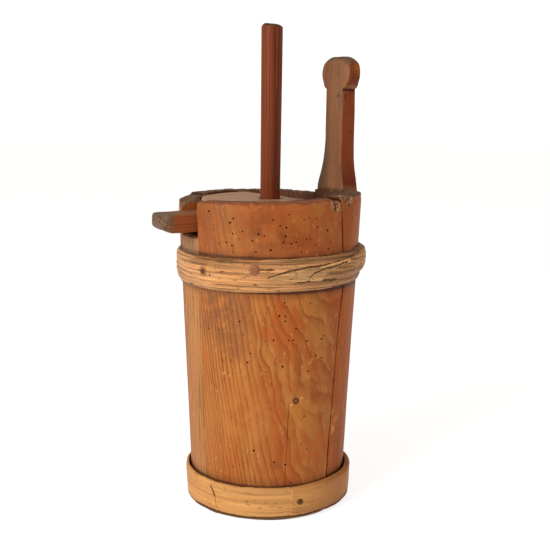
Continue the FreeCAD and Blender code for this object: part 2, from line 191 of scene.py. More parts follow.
def clean_cut(shell):
    """Triangles only, without slivers of no area or the pairs that lie back to back where a
    cut has grazed a face that isn't flat."""
    bmesh.ops.dissolve_degenerate(shell, dist=1e-6, edges=shell.edges)
    bmesh.ops.triangulate(shell, faces=shell.faces)
    shell.verts.index_update()
    alike = {}
    for face in shell.faces:
        alike.setdefault(frozenset(vert.index for vert in face.verts), []).append(face)
    doubled = [face for group in alike.values() if len(group) > 1 for face in group]
    bmesh.ops.delete(shell, geom=doubled, context="FACES")


def solve(piece):
    """Apply a piece's modifiers for good, and give its new mesh."""
    bpy.context.view_layer.update()
    solved = piece.evaluated_get(bpy.context.evaluated_depsgraph_get())
    mesh = bpy.data.meshes.new_from_object(solved)
    piece.modifiers.clear()
    piece.data = mesh
    return mesh


def combine(piece, other, sharp=40, operation="DIFFERENCE"):
    """Cut another solid out of a piece, or join it on, for good. The other is used up."""
    tool = piece.modifiers.new("solid", "BOOLEAN")
    tool.operation, tool.solver, tool.object = operation, "EXACT", other
    mesh = solve(piece)
    edit(mesh, clean_cut)
    soften(mesh, sharp)
    bpy.data.objects.remove(other)


def place(piece, body, slot, *nodes):
    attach(piece, body)
    if nodes:
        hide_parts(*nodes)


def box_grid(us, vs, ws):
    """The skin of a box as a grid: its points, one row each, and its faces."""
    counts = (len(us), len(vs), len(ws))
    index, points, faces = {}, [], []

    def corner(i, j, k):
        if (i, j, k) not in index:
            index[i, j, k] = len(points)
            points.append((us[i], vs[j], ws[k]))
        return index[i, j, k]

    for axis in range(3):
        a, b = (axis + 1) % 3, (axis + 2) % 3
        for side in (0, counts[axis] - 1):
            for p in range(counts[a] - 1):
                for q in range(counts[b] - 1):
                    ring = []
                    for dp, dq in ((0, 0), (1, 0), (1, 1), (0, 1)):
                        at = [0, 0, 0]
                        at[axis], at[a], at[b] = side, p + dp, q + dq
                        ring.append(corner(*at))
                    faces.append(ring if side else ring[::-1])
    return np.array(points), faces


def round_box(points, low, high, radius):
    """Ease a box's edges: each point goes out a radius from the box shrunk by it."""
    core = np.clip(points, np.add(low, radius), np.subtract(high, radius))
    out = points - core
    length = np.linalg.norm(out, axis=1)[:, None]
    return core + out / np.maximum(length, 1e-9) * radius * (length > 1e-9)


def loft(sections, loop=False):
    """Points and faces over closed sections, an array of (section, point, xyz). Unless the
    sections run in a loop, each end is closed."""
    count, around = sections.shape[:2]
    faces = []
    for i in range(count if loop else count - 1):
        for j in range(around):
            here, there = i * around, (i + 1) % count * around
            faces.append([here + j, here + (j + 1) % around,
                          there + (j + 1) % around, there + j])
    verts = sections.reshape(-1, 3)
    if not loop:
        for first in (0, (count - 1) * around):
            hub = len(verts)
            verts = np.vstack([verts, verts[first:first + around].mean(0)])
            faces += [[first + j, first + (j + 1) % around, hub] for j in range(around)]
    return verts, faces


def lofted(name, sections, material, sharp=40, loop=False):
    return new_piece(name, *loft(np.array(sections), loop), material, sharp)


def tubes(name, ends):
    """Closed tubes in one piece to cut with, each given as the rings at its two ends."""
    verts, faces = [], []
    for rings in ends:
        tube, skin = loft(np.array(rings))
        faces += [[i + len(verts) for i in face] for face in skin]
        verts += tube.tolist()
    return new_piece(name, verts, faces)


def rounded_rectangle(half_a, half_b, radius, count=64):
    """Points evenly spaced round a rectangle with round corners."""
    radius = min(radius, half_a * 0.98, half_b * 0.98)
    quarter = np.linspace(0, math.pi / 2, 9)
    line = []
    for number, (a, b) in enumerate(((1, 1), (-1, 1), (-1, -1), (1, -1))):
        turn = quarter + number * math.pi / 2
        line.append(np.stack([a * (half_a - radius) + radius * np.cos(turn),
                              b * (half_b - radius) + radius * np.sin(turn)], -1))
    line = np.concatenate(line + [line[0][:1]])
    along = np.concatenate([[0], np.cumsum(np.linalg.norm(np.diff(line, axis=0), axis=1))])
    at = np.linspace(0, along[-1], count, endpoint=False)
    return np.stack([np.interp(at, along, line[:, 0]), np.interp(at, along, line[:, 1])], -1)


def worn_copy(node, voxel, material):
    """A node's own shape with its edges worn round and its faces a little uneven."""
    wear, seed = 0.08 * MM, 91
    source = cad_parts[node].data
    verts = np.array([v.co[:] for v in source.vertices])
    faces = [list(p.vertices) for p in source.polygons]
    piece = new_piece("worn_" + node, verts, faces, material)
    remesh = piece.modifiers.new("remesh", "REMESH")
    remesh.mode, remesh.voxel_size = "VOXEL", voxel
    rounding = piece.modifiers.new("rounding", "SMOOTH")
    rounding.factor, rounding.iterations = 0.5, 4
    mesh = solve(piece)
    places = np.array([v.co[:] for v in mesh.vertices])
    normals = np.array([v.normal[:] for v in mesh.vertices])
    moved = waves(places, 28 * MM, seed) * wear + waves(places, 9 * MM, seed + 1) * wear * 0.4
    places = places + normals * (moved - wear)[:, None]
    mesh.vertices.foreach_set("co", places.ravel())
    soften(mesh, 60)
    return piece


# ---- nodes for wood -----------------------------------------------------------------------

class Value:
    """One output of a node. Arithmetic on it makes more nodes."""

    def __init__(self, graph, socket):
        self.graph, self.socket = graph, socket

    def __add__(self, other):
        return self.graph.math("ADD", self, other)

    def __radd__(self, other):
        return self.graph.math("ADD", other, self)

    def __sub__(self, other):
        return self.graph.math("SUBTRACT", self, other) if isinstance(other, Value) else self + -other

    def __rsub__(self, other):
        return self.graph.math("SUBTRACT", other, self)

    def __mul__(self, other):
        return self.graph.math("MULTIPLY", self, other)

    def __abs__(self):
        return self.graph.math("ABSOLUTE", self)


class Graph:
    """Short words for building one material's nodes. In wood, at is the place on the churn,
    normal the way it faces, and colour, wear (roughness) and height (of bumps) are what its
    surface has come to so far."""

    def __init__(self, name):
        self.material = bpy.data.materials.new(name)
        self.material.use_nodes = True
        self.tree = self.material.node_tree
        self.tree.nodes.clear()

    def make(self, kind, inputs=(), **settings):
        """A new node, its inputs given by number or name."""
        made = self.tree.nodes.new(kind)
        for key, setting in settings.items():
            setattr(made, key, setting)
        for key, given in dict(inputs).items():
            if isinstance(given, Value):
                self.tree.links.new(given.socket, made.inputs[key])
            else:
                made.inputs[key].default_value = given
        return made

    def value(self, output, kind, inputs=(), **settings):
        """One output of a new node, by number or name."""
        return Value(self, self.make(kind, inputs, **settings).outputs[output])

    def math(self, operation, a, b=0.0, clamp=False):
        return self.value(0, "ShaderNodeMath", {0: a, 1: b}, operation=operation,
                          use_clamp=clamp)

    def most(self, a, b):
        return self.math("MAXIMUM", a, b)

    def length(self, x, y):
        return self.math("SQRT", x * x + y * y)

    def step(self, value, low, high):
        """0 to 1 as value goes from low up to high, eased."""
        return self.value("Result", "ShaderNodeMapRange", {
            "Value": value, "From Min": low, "From Max": high}, interpolation_type="SMOOTHSTEP")

    def fall(self, value, low, high):
        """1 to 0 as value goes from low up to high, eased."""
        return 1 - self.step(value, low, high)

    def noise(self, scale, detail=3.0, roughness=0.55, stretch=None, shift=(0, 0, 0), of=None):
        """Cloudy value from 0 to 1, about 0.5, over the place or the coordinates of."""
        of = of or self.at
        if stretch:
            of = self.stretch(of, stretch, shift=shift)
        return self.value("Fac", "ShaderNodeTexNoise", {
            "Vector": of, "Scale": scale, "Detail": detail, "Roughness": roughness})

    def stretch(self, vector, scale=(1, 1, 1), turn=(0, 0, 0), shift=(0, 0, 0)):
        return self.value("Vector", "ShaderNodeMapping", {
            "Vector": vector, "Location": shift, "Rotation": [math.radians(a) for a in turn],
            "Scale": scale})

    def parts(self, vector=None):
        """x, y and z of a vector, or of the place."""
        split = self.make("ShaderNodeSeparateXYZ", {0: vector or self.at})
        return [Value(self, output) for output in split.outputs]

    def join(self, x, y, z):
        return self.value(0, "ShaderNodeCombineXYZ", {0: x, 1: y, 2: z})

    def mix(self, share, a, b, blend="MIX"):
        return self.value(2, "ShaderNodeMix", {0: share, 6: a, 7: b}, data_type="RGBA",
                          blend_type=blend)

    def lay(self, share, red, green, blue):
        """Cover a share of the colour with one that looks like this."""
        self.colour = self.mix(share, self.colour, seen(red, green, blue))

    def curve(self, value, stops):
        """Value through a ramp of (position, brightness) stops."""
        made = self.make("ShaderNodeValToRGB", {"Fac": value})
        ramp = made.color_ramp
        while len(ramp.elements) < len(stops):
            ramp.elements.new(0.5)
        for element, (position, bright) in zip(ramp.elements, stops):
            element.position = position
            element.color = (bright, bright, bright, 1)
        return Value(self, made.outputs["Color"])

    def distance(self, centre):
        return self.value("Value", "ShaderNodeVectorMath", {0: self.at, 1: centre},
                          operation="DISTANCE")

    def near(self, centre, size):
        """1 at a point, falling to 0 a size away."""
        return self.fall(self.distance(centre), 0.0, size)

    def finish(self, surface):
        """The material, with the output of a node as its surface."""
        self.make("ShaderNodeOutputMaterial", {"Surface": surface})
        return self.material


LIGHT_ON_FRONT = 1.55       # how far the lamps and the white room light the front, in whites


def seen(red, green, blue):
    """The wood colour that looks like this, in 0 to 255 values, on the churn's lit front."""
    def linear(c):
        c /= 255
        return c / 12.92 if c <= 0.04045 else ((c + 0.055) / 1.055) ** 2.4
    return (*(linear(c) / LIGHT_ON_FRONT for c in (red, green, blue)), 1.0)


# darkness of one year's growth, from its pale early wood to its dark late wood
RING_SHAPE = [(0.0, 0.05), (0.35, 0.12), (0.7, 0.6), (0.88, 1.0), (0.97, 0.75), (1.0, 0.05)]
YEARS_DIFFER = 0.9      # how much some years' late wood is darker than others'
WOODS = {}


def ring_coordinates(g, seam):
    """Coordinates for a bent strip: across it, up it, and along it. They jump at the seam, in
    degrees to the right of the camera's bearing, where one layer of the strip ends."""
    back = seam - 180
    x, y, z = g.parts(g.stretch(g.at, turn=(0, 0, -CAMERA_BEARING - back)))
    turn = g.math("ARCTAN2", y, x) + math.radians(back)
    return g.join(g.length(x, y), z, turn * RIM_RADIUS)


def wood(name, early, late, pith, ring=2.6 * MM, lean=(0, 0, 0), along="z", wobble=3 * MM,
         wobble_size=100 * MM, contrast=0.8, stain=None, stain_amount=0.5, end=None,
         rough=(0.42, 0.62), fibre=0.45, seed=0.0, paint=None, grain_bump=0.55, widen=None,
         flame=None, fissures=0.12, calm=None, seam=0):
    """Wood cut from a trunk whose middle runs through pith: early and late wood in rings,
    wavering along the grain, with fibres, fine dark fissures, blotches of stain and darker end
    grain. widen is a distance where rings would have no width and how fast they widen past it;
    flame is how far the rings stray where they are nearly flat, from one distance to another.
    calm(g) says where the rings are faint, from 0 to 1, and paint(g) goes over it all."""
    g = Graph(name + "_wood")
    coordinates = g.make("ShaderNodeTexCoord").outputs
    g.at, g.normal = Value(g, coordinates["Object"]), Value(g, coordinates["Normal"])
    if along == "ring":
        grain = ring_coordinates(g, seam)
    else:
        grain = g.stretch(g.at, turn=(0, 90, 0) if along == "x" else (0, 0, 0))
    x, y, _ = g.parts(g.stretch(grain, turn=lean, shift=[-c for c in pith]))

    slow = g.stretch(grain, (1, 1, 0.3), shift=(seed, seed * 1.7, seed * 0.6))
    waver = (g.noise(1 / wobble_size, 3.0, 0.5, of=slow) - 0.5) * (wobble * 2)
    ripple = (g.noise(5 / wobble_size, 2.0, 0.5, of=slow) - 0.5) * (wobble * 0.35)
    distance = g.length(x, y) + waver + ripple
    if flame:
        stray, start, full = flame
        tongues = g.noise(24.0, 2.5, 0.55, (1, 1, 0.5), (seed, 0, 0), grain)
        distance = distance + (tongues - 0.5) * (g.step(distance, start, full) * (stray * 2))
    uneven = g.noise(90.0, 2.0, 0.6, of=g.join(distance, seed, 0.0))
    if widen:
        nothing, rate = widen
        count = g.math("LOGARITHM", distance - nothing, math.e) * (1 / rate)
    else:
        count = distance * (1 / ring)
    count = count + uneven * 1.6
    lateness = g.curve(g.math("FRACT", count), RING_SHAPE)
    year = g.noise(3.7, 0.0, of=g.join(g.math("FLOOR", count), seed, 0.0))
    lateness = lateness * (year * YEARS_DIFFER + (1 - YEARS_DIFFER / 2))

    fibres = g.noise(620.0, 3.0, 0.7, (1, 1, 0.018), (0, seed, 0), grain)
    streaks = g.noise(130.0, 4.0, 0.65, (1, 1, 0.03), (seed, 0, 0), grain)
    clouds = g.noise(13.0, 4.0, 0.6, (1, 1, 0.45), (seed, 0, seed), grain)
    splits = g.noise(260.0, 2.0, 0.5, (1, 1, 0.03), (seed, seed, 0), grain)
    splits = g.step(splits, 0.56, 0.64) * g.step(clouds, 0.4, 0.55)

    share = g.math("MULTIPLY", lateness, contrast, clamp=True)
    if calm:
        share = share * (1 - calm(g))
    g.colour = g.mix(share, seen(*early), seen(*late))
    if stain:
        g.lay(g.step(clouds, 0.4, 0.68) * stain_amount, *stain)
    tone = (fibres - 0.5) * fibre + (streaks - 0.5) * (fibre * 1.6)
    tone = (tone + (clouds - 0.5) * 0.55 + 1.0) * (1 - splits * fissures)
    g.colour = g.mix(1.0, g.colour, g.join(tone, tone, tone), "MULTIPLY")

    g.height = share * 0.6 + fibres * 0.8 + splits * (fissures * -3)
    g.wear = rough[0] + (streaks * 0.5 + clouds * 0.5) * (rough[1] - rough[0])
    if end:
        def ending(dark):
            return [c * dark for c in seen(*end)[:3]] + [1]

        facing = g.step(g.parts(g.normal)[2], 0.35, 0.7)
        speckle = g.noise(420.0, 3.0, 0.7)
        patch = g.noise(75.0, 3.0, 0.6)
        end_colour = g.mix(g.step(speckle, 0.35, 0.7), ending(1), ending(0.45))
        end_colour = g.mix(g.step(patch, 0.52, 0.66) * 0.7, end_colour, ending(0.22))
        end_colour = g.mix(share * 0.3, end_colour, seen(*late))
        g.colour = g.mix(facing, g.colour, end_colour)
        g.wear = g.wear + facing * 0.2
        g.height = g.height + speckle * facing * 1.6
    if paint:
        paint(g)

    bump = g.value(0, "ShaderNodeBump", {"Strength": grain_bump, "Distance": 0.25 * MM,
                                         "Height": g.height})
    WOODS[name] = g.finish(g.value(0, "ShaderNodeBsdfPrincipled", {
        "Base Color": g.colour, "Roughness": g.wear, "Normal": bump, "Specular IOR Level": 0.1}))


# ---- the churn's own woods ----------------------------------------------------------------

def paint_stave(g):
    """Darker brown towards the inside as painted shade, the joints' walls dark with painted shade, and
    grime and painted shade where the hoops have sat.
    """
    x, y, z = g.parts()
    taper = (RIM_RADIUS - FOOT_RADIUS) / RIM_HEIGHT
    depth = z * taper + FOOT_RADIUS - g.length(x, y)
    below_grip = g.fall(z, 362 * MM, 366 * MM)
    # painted shade: the inner part of the wall, seen on the rim and in the notch, darkened where the
    # inside lies in shadow
    g.lay(g.step(depth, 14 * MM, 22 * MM) * below_grip * 0.85, 84, 54, 38)

    outward = g.value(0, "ShaderNodeVectorMath", {0: g.join(x, y, 0.0)}, operation="NORMALIZE")
    outward = g.value("Value", "ShaderNodeVectorMath", {0: outward, 1: g.normal},
                      operation="DOT_PRODUCT")
    sideways = abs(outward) + abs(g.parts(g.normal)[2])
    # painted shade: faces turned sideways deep in the joints are painted near black, as shade in the
    # gaps
    painted_joint_shade = g.fall(sideways, 0.4, 0.75) * g.step(depth, 0.6 * MM, 1.4 * MM)
    at_notch = g.step(z, 314 * MM, 317 * MM) * g.fall(x, -75 * MM, -65 * MM)
    g.lay(painted_joint_shade * (below_grip * (1 - at_notch)) * 0.95, 46, 24, 14)

    specks = g.noise(230.0, 2.0, 0.6, (1, 1, 0.55))
    skin = g.fall(depth, 1 * MM, 2 * MM)
    g.lay(g.step(specks, 0.67, 0.71) * skin * 0.6, 214, 160, 88)
    g.lay(g.step(1 - specks, 0.66, 0.7) * skin * 0.5, 86, 44, 22)
    chips = g.step(g.noise(190.0, 3.0, 0.65), 0.55, 0.62)
    g.lay(chips * (g.step(z, 350 * MM, 357 * MM) * below_grip) * 0.5, 178, 132, 92)

    # a broad smudge of grime and painted shade, then a narrow line of painted shade at the hoops'
    # edges, on both sides of the upper hoop and above the lower one
    cloud = g.noise(60.0, 4.0, 0.65) - 0.5
    for upper_stray, middle, off_upper, lower_stray, off_lower, amount, shade in (
            (12 * MM, 282 * MM, mm(17, 30), 16 * MM, mm(38, 54), 0.5, (96, 52, 30)),
            (3 * MM, 282.5 * MM, mm(19.5, 21.5), 3 * MM, mm(40.4, 42.6), 0.7, (60, 34, 22))):
        at_upper = g.fall(abs(z + cloud * upper_stray - middle), *off_upper)
        at_lower = g.fall(z + cloud * lower_stray, *off_lower)
        g.lay(g.most(at_upper, at_lower) * amount, *shade)


def splintered(g, centre, size):
    """A broken corner: tan wood with pale splinters and dark pits."""
    near = g.step(g.near(centre, size), 0.08, 0.45)
    ragged = g.noise(250.0, 3.0, 0.6, (1, 1, 0.55))
    g.lay(near * 0.6, 172, 112, 72)
    g.lay(near * g.step(ragged, 0.53, 0.6), 228, 178, 142)
    g.lay(near * g.step(1 - ragged, 0.55, 0.62), 84, 48, 30)


def front_calm(g):
    """The front stave's figure is faint above the hoop and to the right."""
    x, _, z = g.parts()
    cloud = (g.noise(22.0, 3.0, 0.6) - 0.5) * (60 * MM)
    high = g.step(z + cloud, 275 * MM, 305 * MM) * g.step(x, -92 * MM, -74 * MM)
    return g.most(high * 0.8, g.step(x + cloud, -40 * MM, 20 * MM) * 0.2)


def paint_front(g):
    """Tan and orange flames, rubbed smears, a smoky patch under the upper hoop, the knot."""
    x, _, z = g.parts()
    leaning = g.stretch(g.at, turn=(0, 24, 0))
    flames = g.noise(30.0, 4.0, 0.6, (1, 1, 0.22), (2.3, 0, 0), leaning)
    flakes = g.noise(85.0, 3.0, 0.6, (1, 1, 0.4), (7.3, 0, 0), leaning)
    flames = flames * 0.62 + flakes * 0.38
    right = g.step(x + z * 0.12, -56 * MM, -18 * MM)
    high = g.step(z, 290 * MM, 306 * MM)
    g.lay(g.fall(flames, 0.45, 0.56) * right * 0.6, 182, 80, 26)
    pale = g.step(flames, 0.52, 0.61) * (1 - high)
    pale = pale * g.step(z + x * -0.6, 60 * MM, 130 * MM)
    g.lay(pale * right * 0.5, 204, 128, 60)
    g.lay(high * 0.45, 164, 86, 40)
    paint_stave(g)

    # rubbed and smoky patches: bearing, height and size in millimetres, strength, colour
    ragged = g.step(g.noise(48.0, 4.0, 0.65), 0.3, 0.6)
    for bearing, z_patch, size, amount, shade in (
            (-160, 256, 66, 0.8, (130, 84, 58)), (-148, 228, 46, 0.6, (126, 76, 50)),
            (-142, 198, 26, 0.5, (132, 76, 46)), (-122, 330, 40, 0.75, (128, 64, 30)),
            (-156, 336, 52, 0.6, (134, 82, 52)), (-104, 318, 30, 0.6, (124, 58, 26)),
            (-114, 66.5, 9, 0.6, (110, 62, 32)), (-136, 118, 60, 0.55, (214, 138, 66)),
            (-84, 72, 56, 0.75, (198, 98, 34)), (-95, 120, 30, 0.6, (214, 138, 52))):
        mask = g.near(on_skin(bearing, z_patch * MM), size * MM)
        g.lay(mask * ragged * amount, *shade)
    splintered(g, polar(-75, 101 * MM, 358 * MM), 15 * MM)
    core, halo = g.near(on_skin(*KNOT), 4.6 * MM), g.near(on_skin(*KNOT), 15 * MM)
    g.lay(halo * 0.4, 204, 128, 62)
    flecks = g.step(g.noise(250.0, 3.0, 0.6), 0.58, 0.64)
    g.lay(flecks * g.step(halo, 0.1, 0.5), 232, 168, 92)
    g.lay(g.step(core, 0.05, 0.3), 112, 52, 32)
    g.lay(g.step(core, 0.4, 0.8) * 0.7, 164, 92, 60)
    g.lay(g.step(core, 0.02, 0.12) * g.fall(core, 0.14, 0.34) * 0.8, 64, 30, 18)


def paint_right(g):
    """A patch of the joint's edge rubbed down to yellow wood, and a broken top corner."""
    paint_stave(g)
    splintered(g, polar(-64, 100 * MM, 361 * MM), 14 * MM)
    ragged = g.step(g.noise(130.0, 4.0, 0.7), 0.42, 0.56)
    for z_patch, size in (mm(112, 17), mm(96, 10)):
        g.lay(g.near(on_skin(-66, z_patch), size) * ragged * 0.9, 232, 156, 66)


def paint_handle(g):
    """The grip's sides are redder than its hand-worn faces and darker with painted shade,
    the knob's sides darker still, grime low on the sides, a painted highlight on a knob side
    and a painted shade line under the knob.
    """
    paint_stave(g)
    z = g.parts()[2]
    side = g.step(abs(g.parts(g.normal)[1]), 0.55, 0.85) * g.step(z, 362 * MM, 372 * MM)
    side = side * (0.45 + g.noise(70.0, 3.0, 0.6, (1, 1, 0.3)) * 0.8)
    # the sides redder, and darker as painted shade on the faces turned sideways
    g.lay(side, 140, 52, 8)
    grey = g.step(g.noise(38.0, 4.0, 0.65, (1, 1, 0.6), (4, 0, 0)), 0.5, 0.62)
    g.lay(grey * (1 - side * 0.6) * 0.5, 112, 84, 66)
    # painted shade: the knob's sides darker still
    g.lay(g.step(z, 480 * MM, 484 * MM) * side * 0.55, 92, 50, 28)
    g.lay(g.fall(z, 370 * MM, 410 * MM) * side * 0.6, 84, 40, 24)
    # painted highlight: an orange glint on the knob's side
    g.lay(g.near(mm(100, -30, 503), 13 * MM) * 0.7, 204, 116, 50)
    # painted shade: a dark line under the knob's ledge
    knob_shade_line = g.fall(abs(z - 479.5 * MM), 0.6 * MM, 3.5 * MM)
    g.lay(knob_shade_line * side, 56, 28, 16)


def paint_notch(g):
    """Weathered grey at the top, where the tab has kept the polish off."""
    paint_stave(g)
    g.lay(g.step(g.parts()[2], 285 * MM, 312 * MM) * 0.65, 170, 130, 92)
    g.wear = g.wear + 0.1


def paint_tab(g):
    """Browned on top, mottled grey at the tip."""
    cloud = g.noise(60.0, 3.0, 0.6)
    top = g.step(g.parts(g.normal)[2], 0.3, 0.8) * (0.5 + cloud * 0.6)
    g.lay(top, 146, 90, 54)
    mottle = g.step(g.noise(330.0, 3.0, 0.65), 0.42, 0.6)
    weathered = g.mix(mottle, seen(84, 68, 52), seen(126, 104, 82))
    ragged = g.parts()[0] * -1.0 + (cloud - 0.5) * (30 * MM)
    g.colour = g.mix(g.step(ragged, 122 * MM, 138 * MM) * 0.85, g.colour, weathered)


def paint_hoop(lines, dark_low_edge, marks=(), nicked=0.75, browned=0.0):
    """Dark lines along (turns, heights, width) on a hoop: painted shadow along the edges of its
    layers, and cracks. A darker band along its low edge, and round marks given as bearing,
    height, radius, inner shade and the shade of their rim. nicked is how dark the small
    scattered nicks are, browned how brown its lap has gone."""
    def paint(g):
        x, y, z = g.parts(g.stretch(g.at, turn=(0, 0, -CAMERA_BEARING)))
        turn = g.math("ARCTAN2", y, x) * (180 / math.pi)
        shaken = z + (g.noise(150.0, 4.0, 0.7) - 0.5) * (3.2 * MM)
        nicks = g.step(1 - g.noise(330.0, 2.0, 0.6, (0.4, 0.4, 1)), 0.63, 0.68)
        g.lay(nicks * nicked, 88, 50, 26)
        lapped = g.step(turn, 15.5, 17.5) * 0.35 + g.step(turn, 17, 62) * 0.65
        g.lay(lapped * browned, 176, 100, 48)
        for turns, heights, width in lines:
            span = turns[-1] - turns[0]
            low, rise = min(heights), max(max(heights) - min(heights), 0.1 * MM)
            along = (turn - turns[0]) * (1 / span)
            stops = [((t - turns[0]) / span, (h - low) / rise) for t, h in zip(turns, heights)]
            line = g.curve(along, stops) * rise + low
            ends = g.step(along, 0.0, 0.03) * g.fall(along, 0.97, 1.0)
            mask = g.fall(abs(shaken - line), width * 0.4, width) * ends
            # the dark lines: painted shadow along the layers' edges, and cracks
            g.lay(mask * 0.86, 70, 38, 20)
            g.height = g.height + mask * -6.0
        for bearing, z_mark, size, inner, outer in marks:
            away = g.distance(polar(bearing, outer_radius(z_mark) + 5 * MM, z_mark))
            away = away + (g.noise(300.0) - 0.5) * (1.6 * MM)
            g.lay(g.fall(away, size * 0.8, size * 1.25) * 0.8, *outer)
            g.lay(g.fall(away, size * 0.45, size * 0.75), *inner)
        # darker towards the hoop's low edge
        g.lay(g.fall(shaken, *dark_low_edge) * 0.8, 82, 54, 34)
    return paint


def stave_wood(node, seed, early, late, pith_bearing, far=0.3, **more):
    """Wood for one stave, whose trunk's middle lies far off on a bearing from the axis."""
    turn = math.radians(pith_bearing)
    wood(node, early, late, (far * math.cos(turn), far * math.sin(turn), 0), seed=seed,
         **(dict(ring=3.1 * MM, contrast=0.65, stain=(140, 66, 26), stain_amount=0.55,
                 end=(138, 104, 78), wobble=9 * MM, paint=paint_stave) | more))


def hoop_wood(name, seed, early, late, stain, seam, **more):
    wood(name, early, late, (0.03, 0.2, 0), stain=stain, seed=seed, seam=seam,
         **(dict(along="ring", wobble=2.4 * MM, contrast=0.42, stain_amount=0.6, fibre=2.0,
                 grain_bump=1.2, fissures=0.5) | more))


def make_woods():
    stave_wood("front_stave", 3.1, (202, 130, 64), (150, 64, 18), 110.6, far=1.0,
               widen=(0.916, 0.038), flame=(13 * MM, 1.05, 1.095), lean=(7, 5, 0),
               wobble_size=90 * MM, contrast=0.8, stain=(176, 84, 28), stain_amount=0.6,
               paint=paint_front, calm=front_calm)
    stave_wood("right_stave", 7.7, (208, 108, 22), (140, 56, 4), 40, lean=(4, -6, 0),
               wobble=11 * MM, stain=(140, 66, 12), paint=paint_right)
    stave_wood("handle_stave", 5.2, (168, 112, 70), (120, 66, 34), 120, ring=2.6 * MM,
               contrast=0.4, stain=(122, 82, 56), stain_amount=0.7, paint=paint_handle)
    stave_wood("notch_stave", 12.9, (204, 142, 84), (158, 92, 46), -30, ring=2.4 * MM,
               stain=(176, 110, 60), paint=paint_notch, fissures=0.3)
    for number, node in enumerate(("back_left_stave", "back_stave", "back_middle_stave",
                                   "back_right_stave")):
        stave_wood(node, 20.5 + 3 * number, (196, 126, 66), (150, 66, 22), 200 + 67 * number)

    # dark lines on the upper hoop: painted shadow along the edges of the tongue and the wrap
    lines = [((-1, 11, 22, 35, 46, 58), mm(281, 288.4, 292, 293.2, 295, 296), 1.3 * MM),
             ((16, 31, 43), mm(276.2, 277.2, 276), 1.1 * MM),
             ((23, 26, 34, 43, 52), mm(280, 285.5, 290, 291.8, 294), 1.0 * MM),
             ((-6, 3), mm(290.2, 290.4), 0.9 * MM)]
    marks = [(-161.1, 283.3 * MM, 5.4 * MM, (96, 58, 34), (150, 98, 56)),
             (UPPER_PEG, 290 * MM, 5.7 * MM, (60, 34, 22), (150, 100, 66))]
    hoop_wood("upper_hoop", 2.4, (214, 158, 106), (146, 90, 48), (184, 122, 68), UPPER_LAP_END,
              paint=paint_hoop(lines, mm(261, 266), marks))
    hoop_wood("tongue_tip", 6.4, (218, 166, 110), (156, 104, 60), (190, 144, 98), UPPER_LAP_END,
              paint=paint_hoop([lines[2]], (0, 1 * MM)))
    lines = [((-42, -38, -37), mm(33, 22, 9), 2.4 * MM),
             ((-60, -20, 18, 50, 80), mm(4, 4, 5, 6.4, 7.2), 1.4 * MM)]
    marks = [(LOWER_PEG, 22 * MM, 3.9 * MM, (44, 26, 20), (120, 74, 44))]
    hoop_wood("lower_hoop", 4.9, (234, 170, 100), (176, 108, 52), (200, 128, 64), LOWER_LAP_END,
              paint=paint_hoop(lines, mm(2.4, 5), marks, nicked=0.4, browned=0.6),
              fissures=0.04, contrast=0.14, fibre=0.9)

    wood("peg", (184, 120, 86), (130, 76, 50), (0, 0, 0), ring=2 * MM, seed=9.0)
    wood("dark_peg", (112, 68, 42), (56, 32, 22), (0, 0, 0), ring=1.4 * MM, seed=3.0)
    wood("lid", (204, 156, 120), (166, 120, 88), (0, 0.02, -0.2), ring=3.5 * MM, along="x",
         contrast=0.45, stain=(150, 112, 84), fissures=0.3, seed=4.4)
    wood("bar", (180, 92, 40), (124, 54, 20), (0, 0.03, -0.1), ring=3 * MM, along="x",
         contrast=0.6, stain=(104, 58, 34), paint=paint_tab, seed=6.6)
    wood("rod", (146, 70, 36), (92, 36, 16), (0.006, 0.11, 0), ring=1.9 * MM,
         wobble=1.5 * MM, stain=(84, 36, 20), end=(96, 74, 58), rough=(0.3, 0.5),
         fissures=0.3, seed=8.1)
    wood("inner", (160, 116, 76), (122, 82, 50), (0.2, 0.3, 0), ring=3 * MM, contrast=0.5,
         seed=1.5)


# ---- staves -------------------------------------------------------------------------------

# how far the joints' edges are eased: at one that hardly shows, and else
EDGES = {"notch": 0.1 * MM}
EDGE = 0.32 * MM
# how far apart the staves stand at a joint that has dried open, at a very tight one, and else
GAPS = {"front": 2.1 * MM, "notch": 0.02 * MM}
TIGHT = 0.16 * MM


def half_gap(name, share):
    """Half a joint's width by share of the height: splinters nearly bridge its top."""
    return GAPS.get(name, TIGHT) / 2 * (1 - 0.6 * smooth(share, 0.94, 0.99))


def joint_sway(name, share):
    """Degrees by which a joint strays from its bearing, by share of the height."""
    if name == "front":
        return np.interp(share, [0, 0.2, 0.4, 0.6, 0.72, 0.85, 1.0],
                         [-2.2, -2.0, -0.6, 1.0, 3.6, 1.0, -3.2])
    return 0.4 * np.sin(5 * share + len(name))


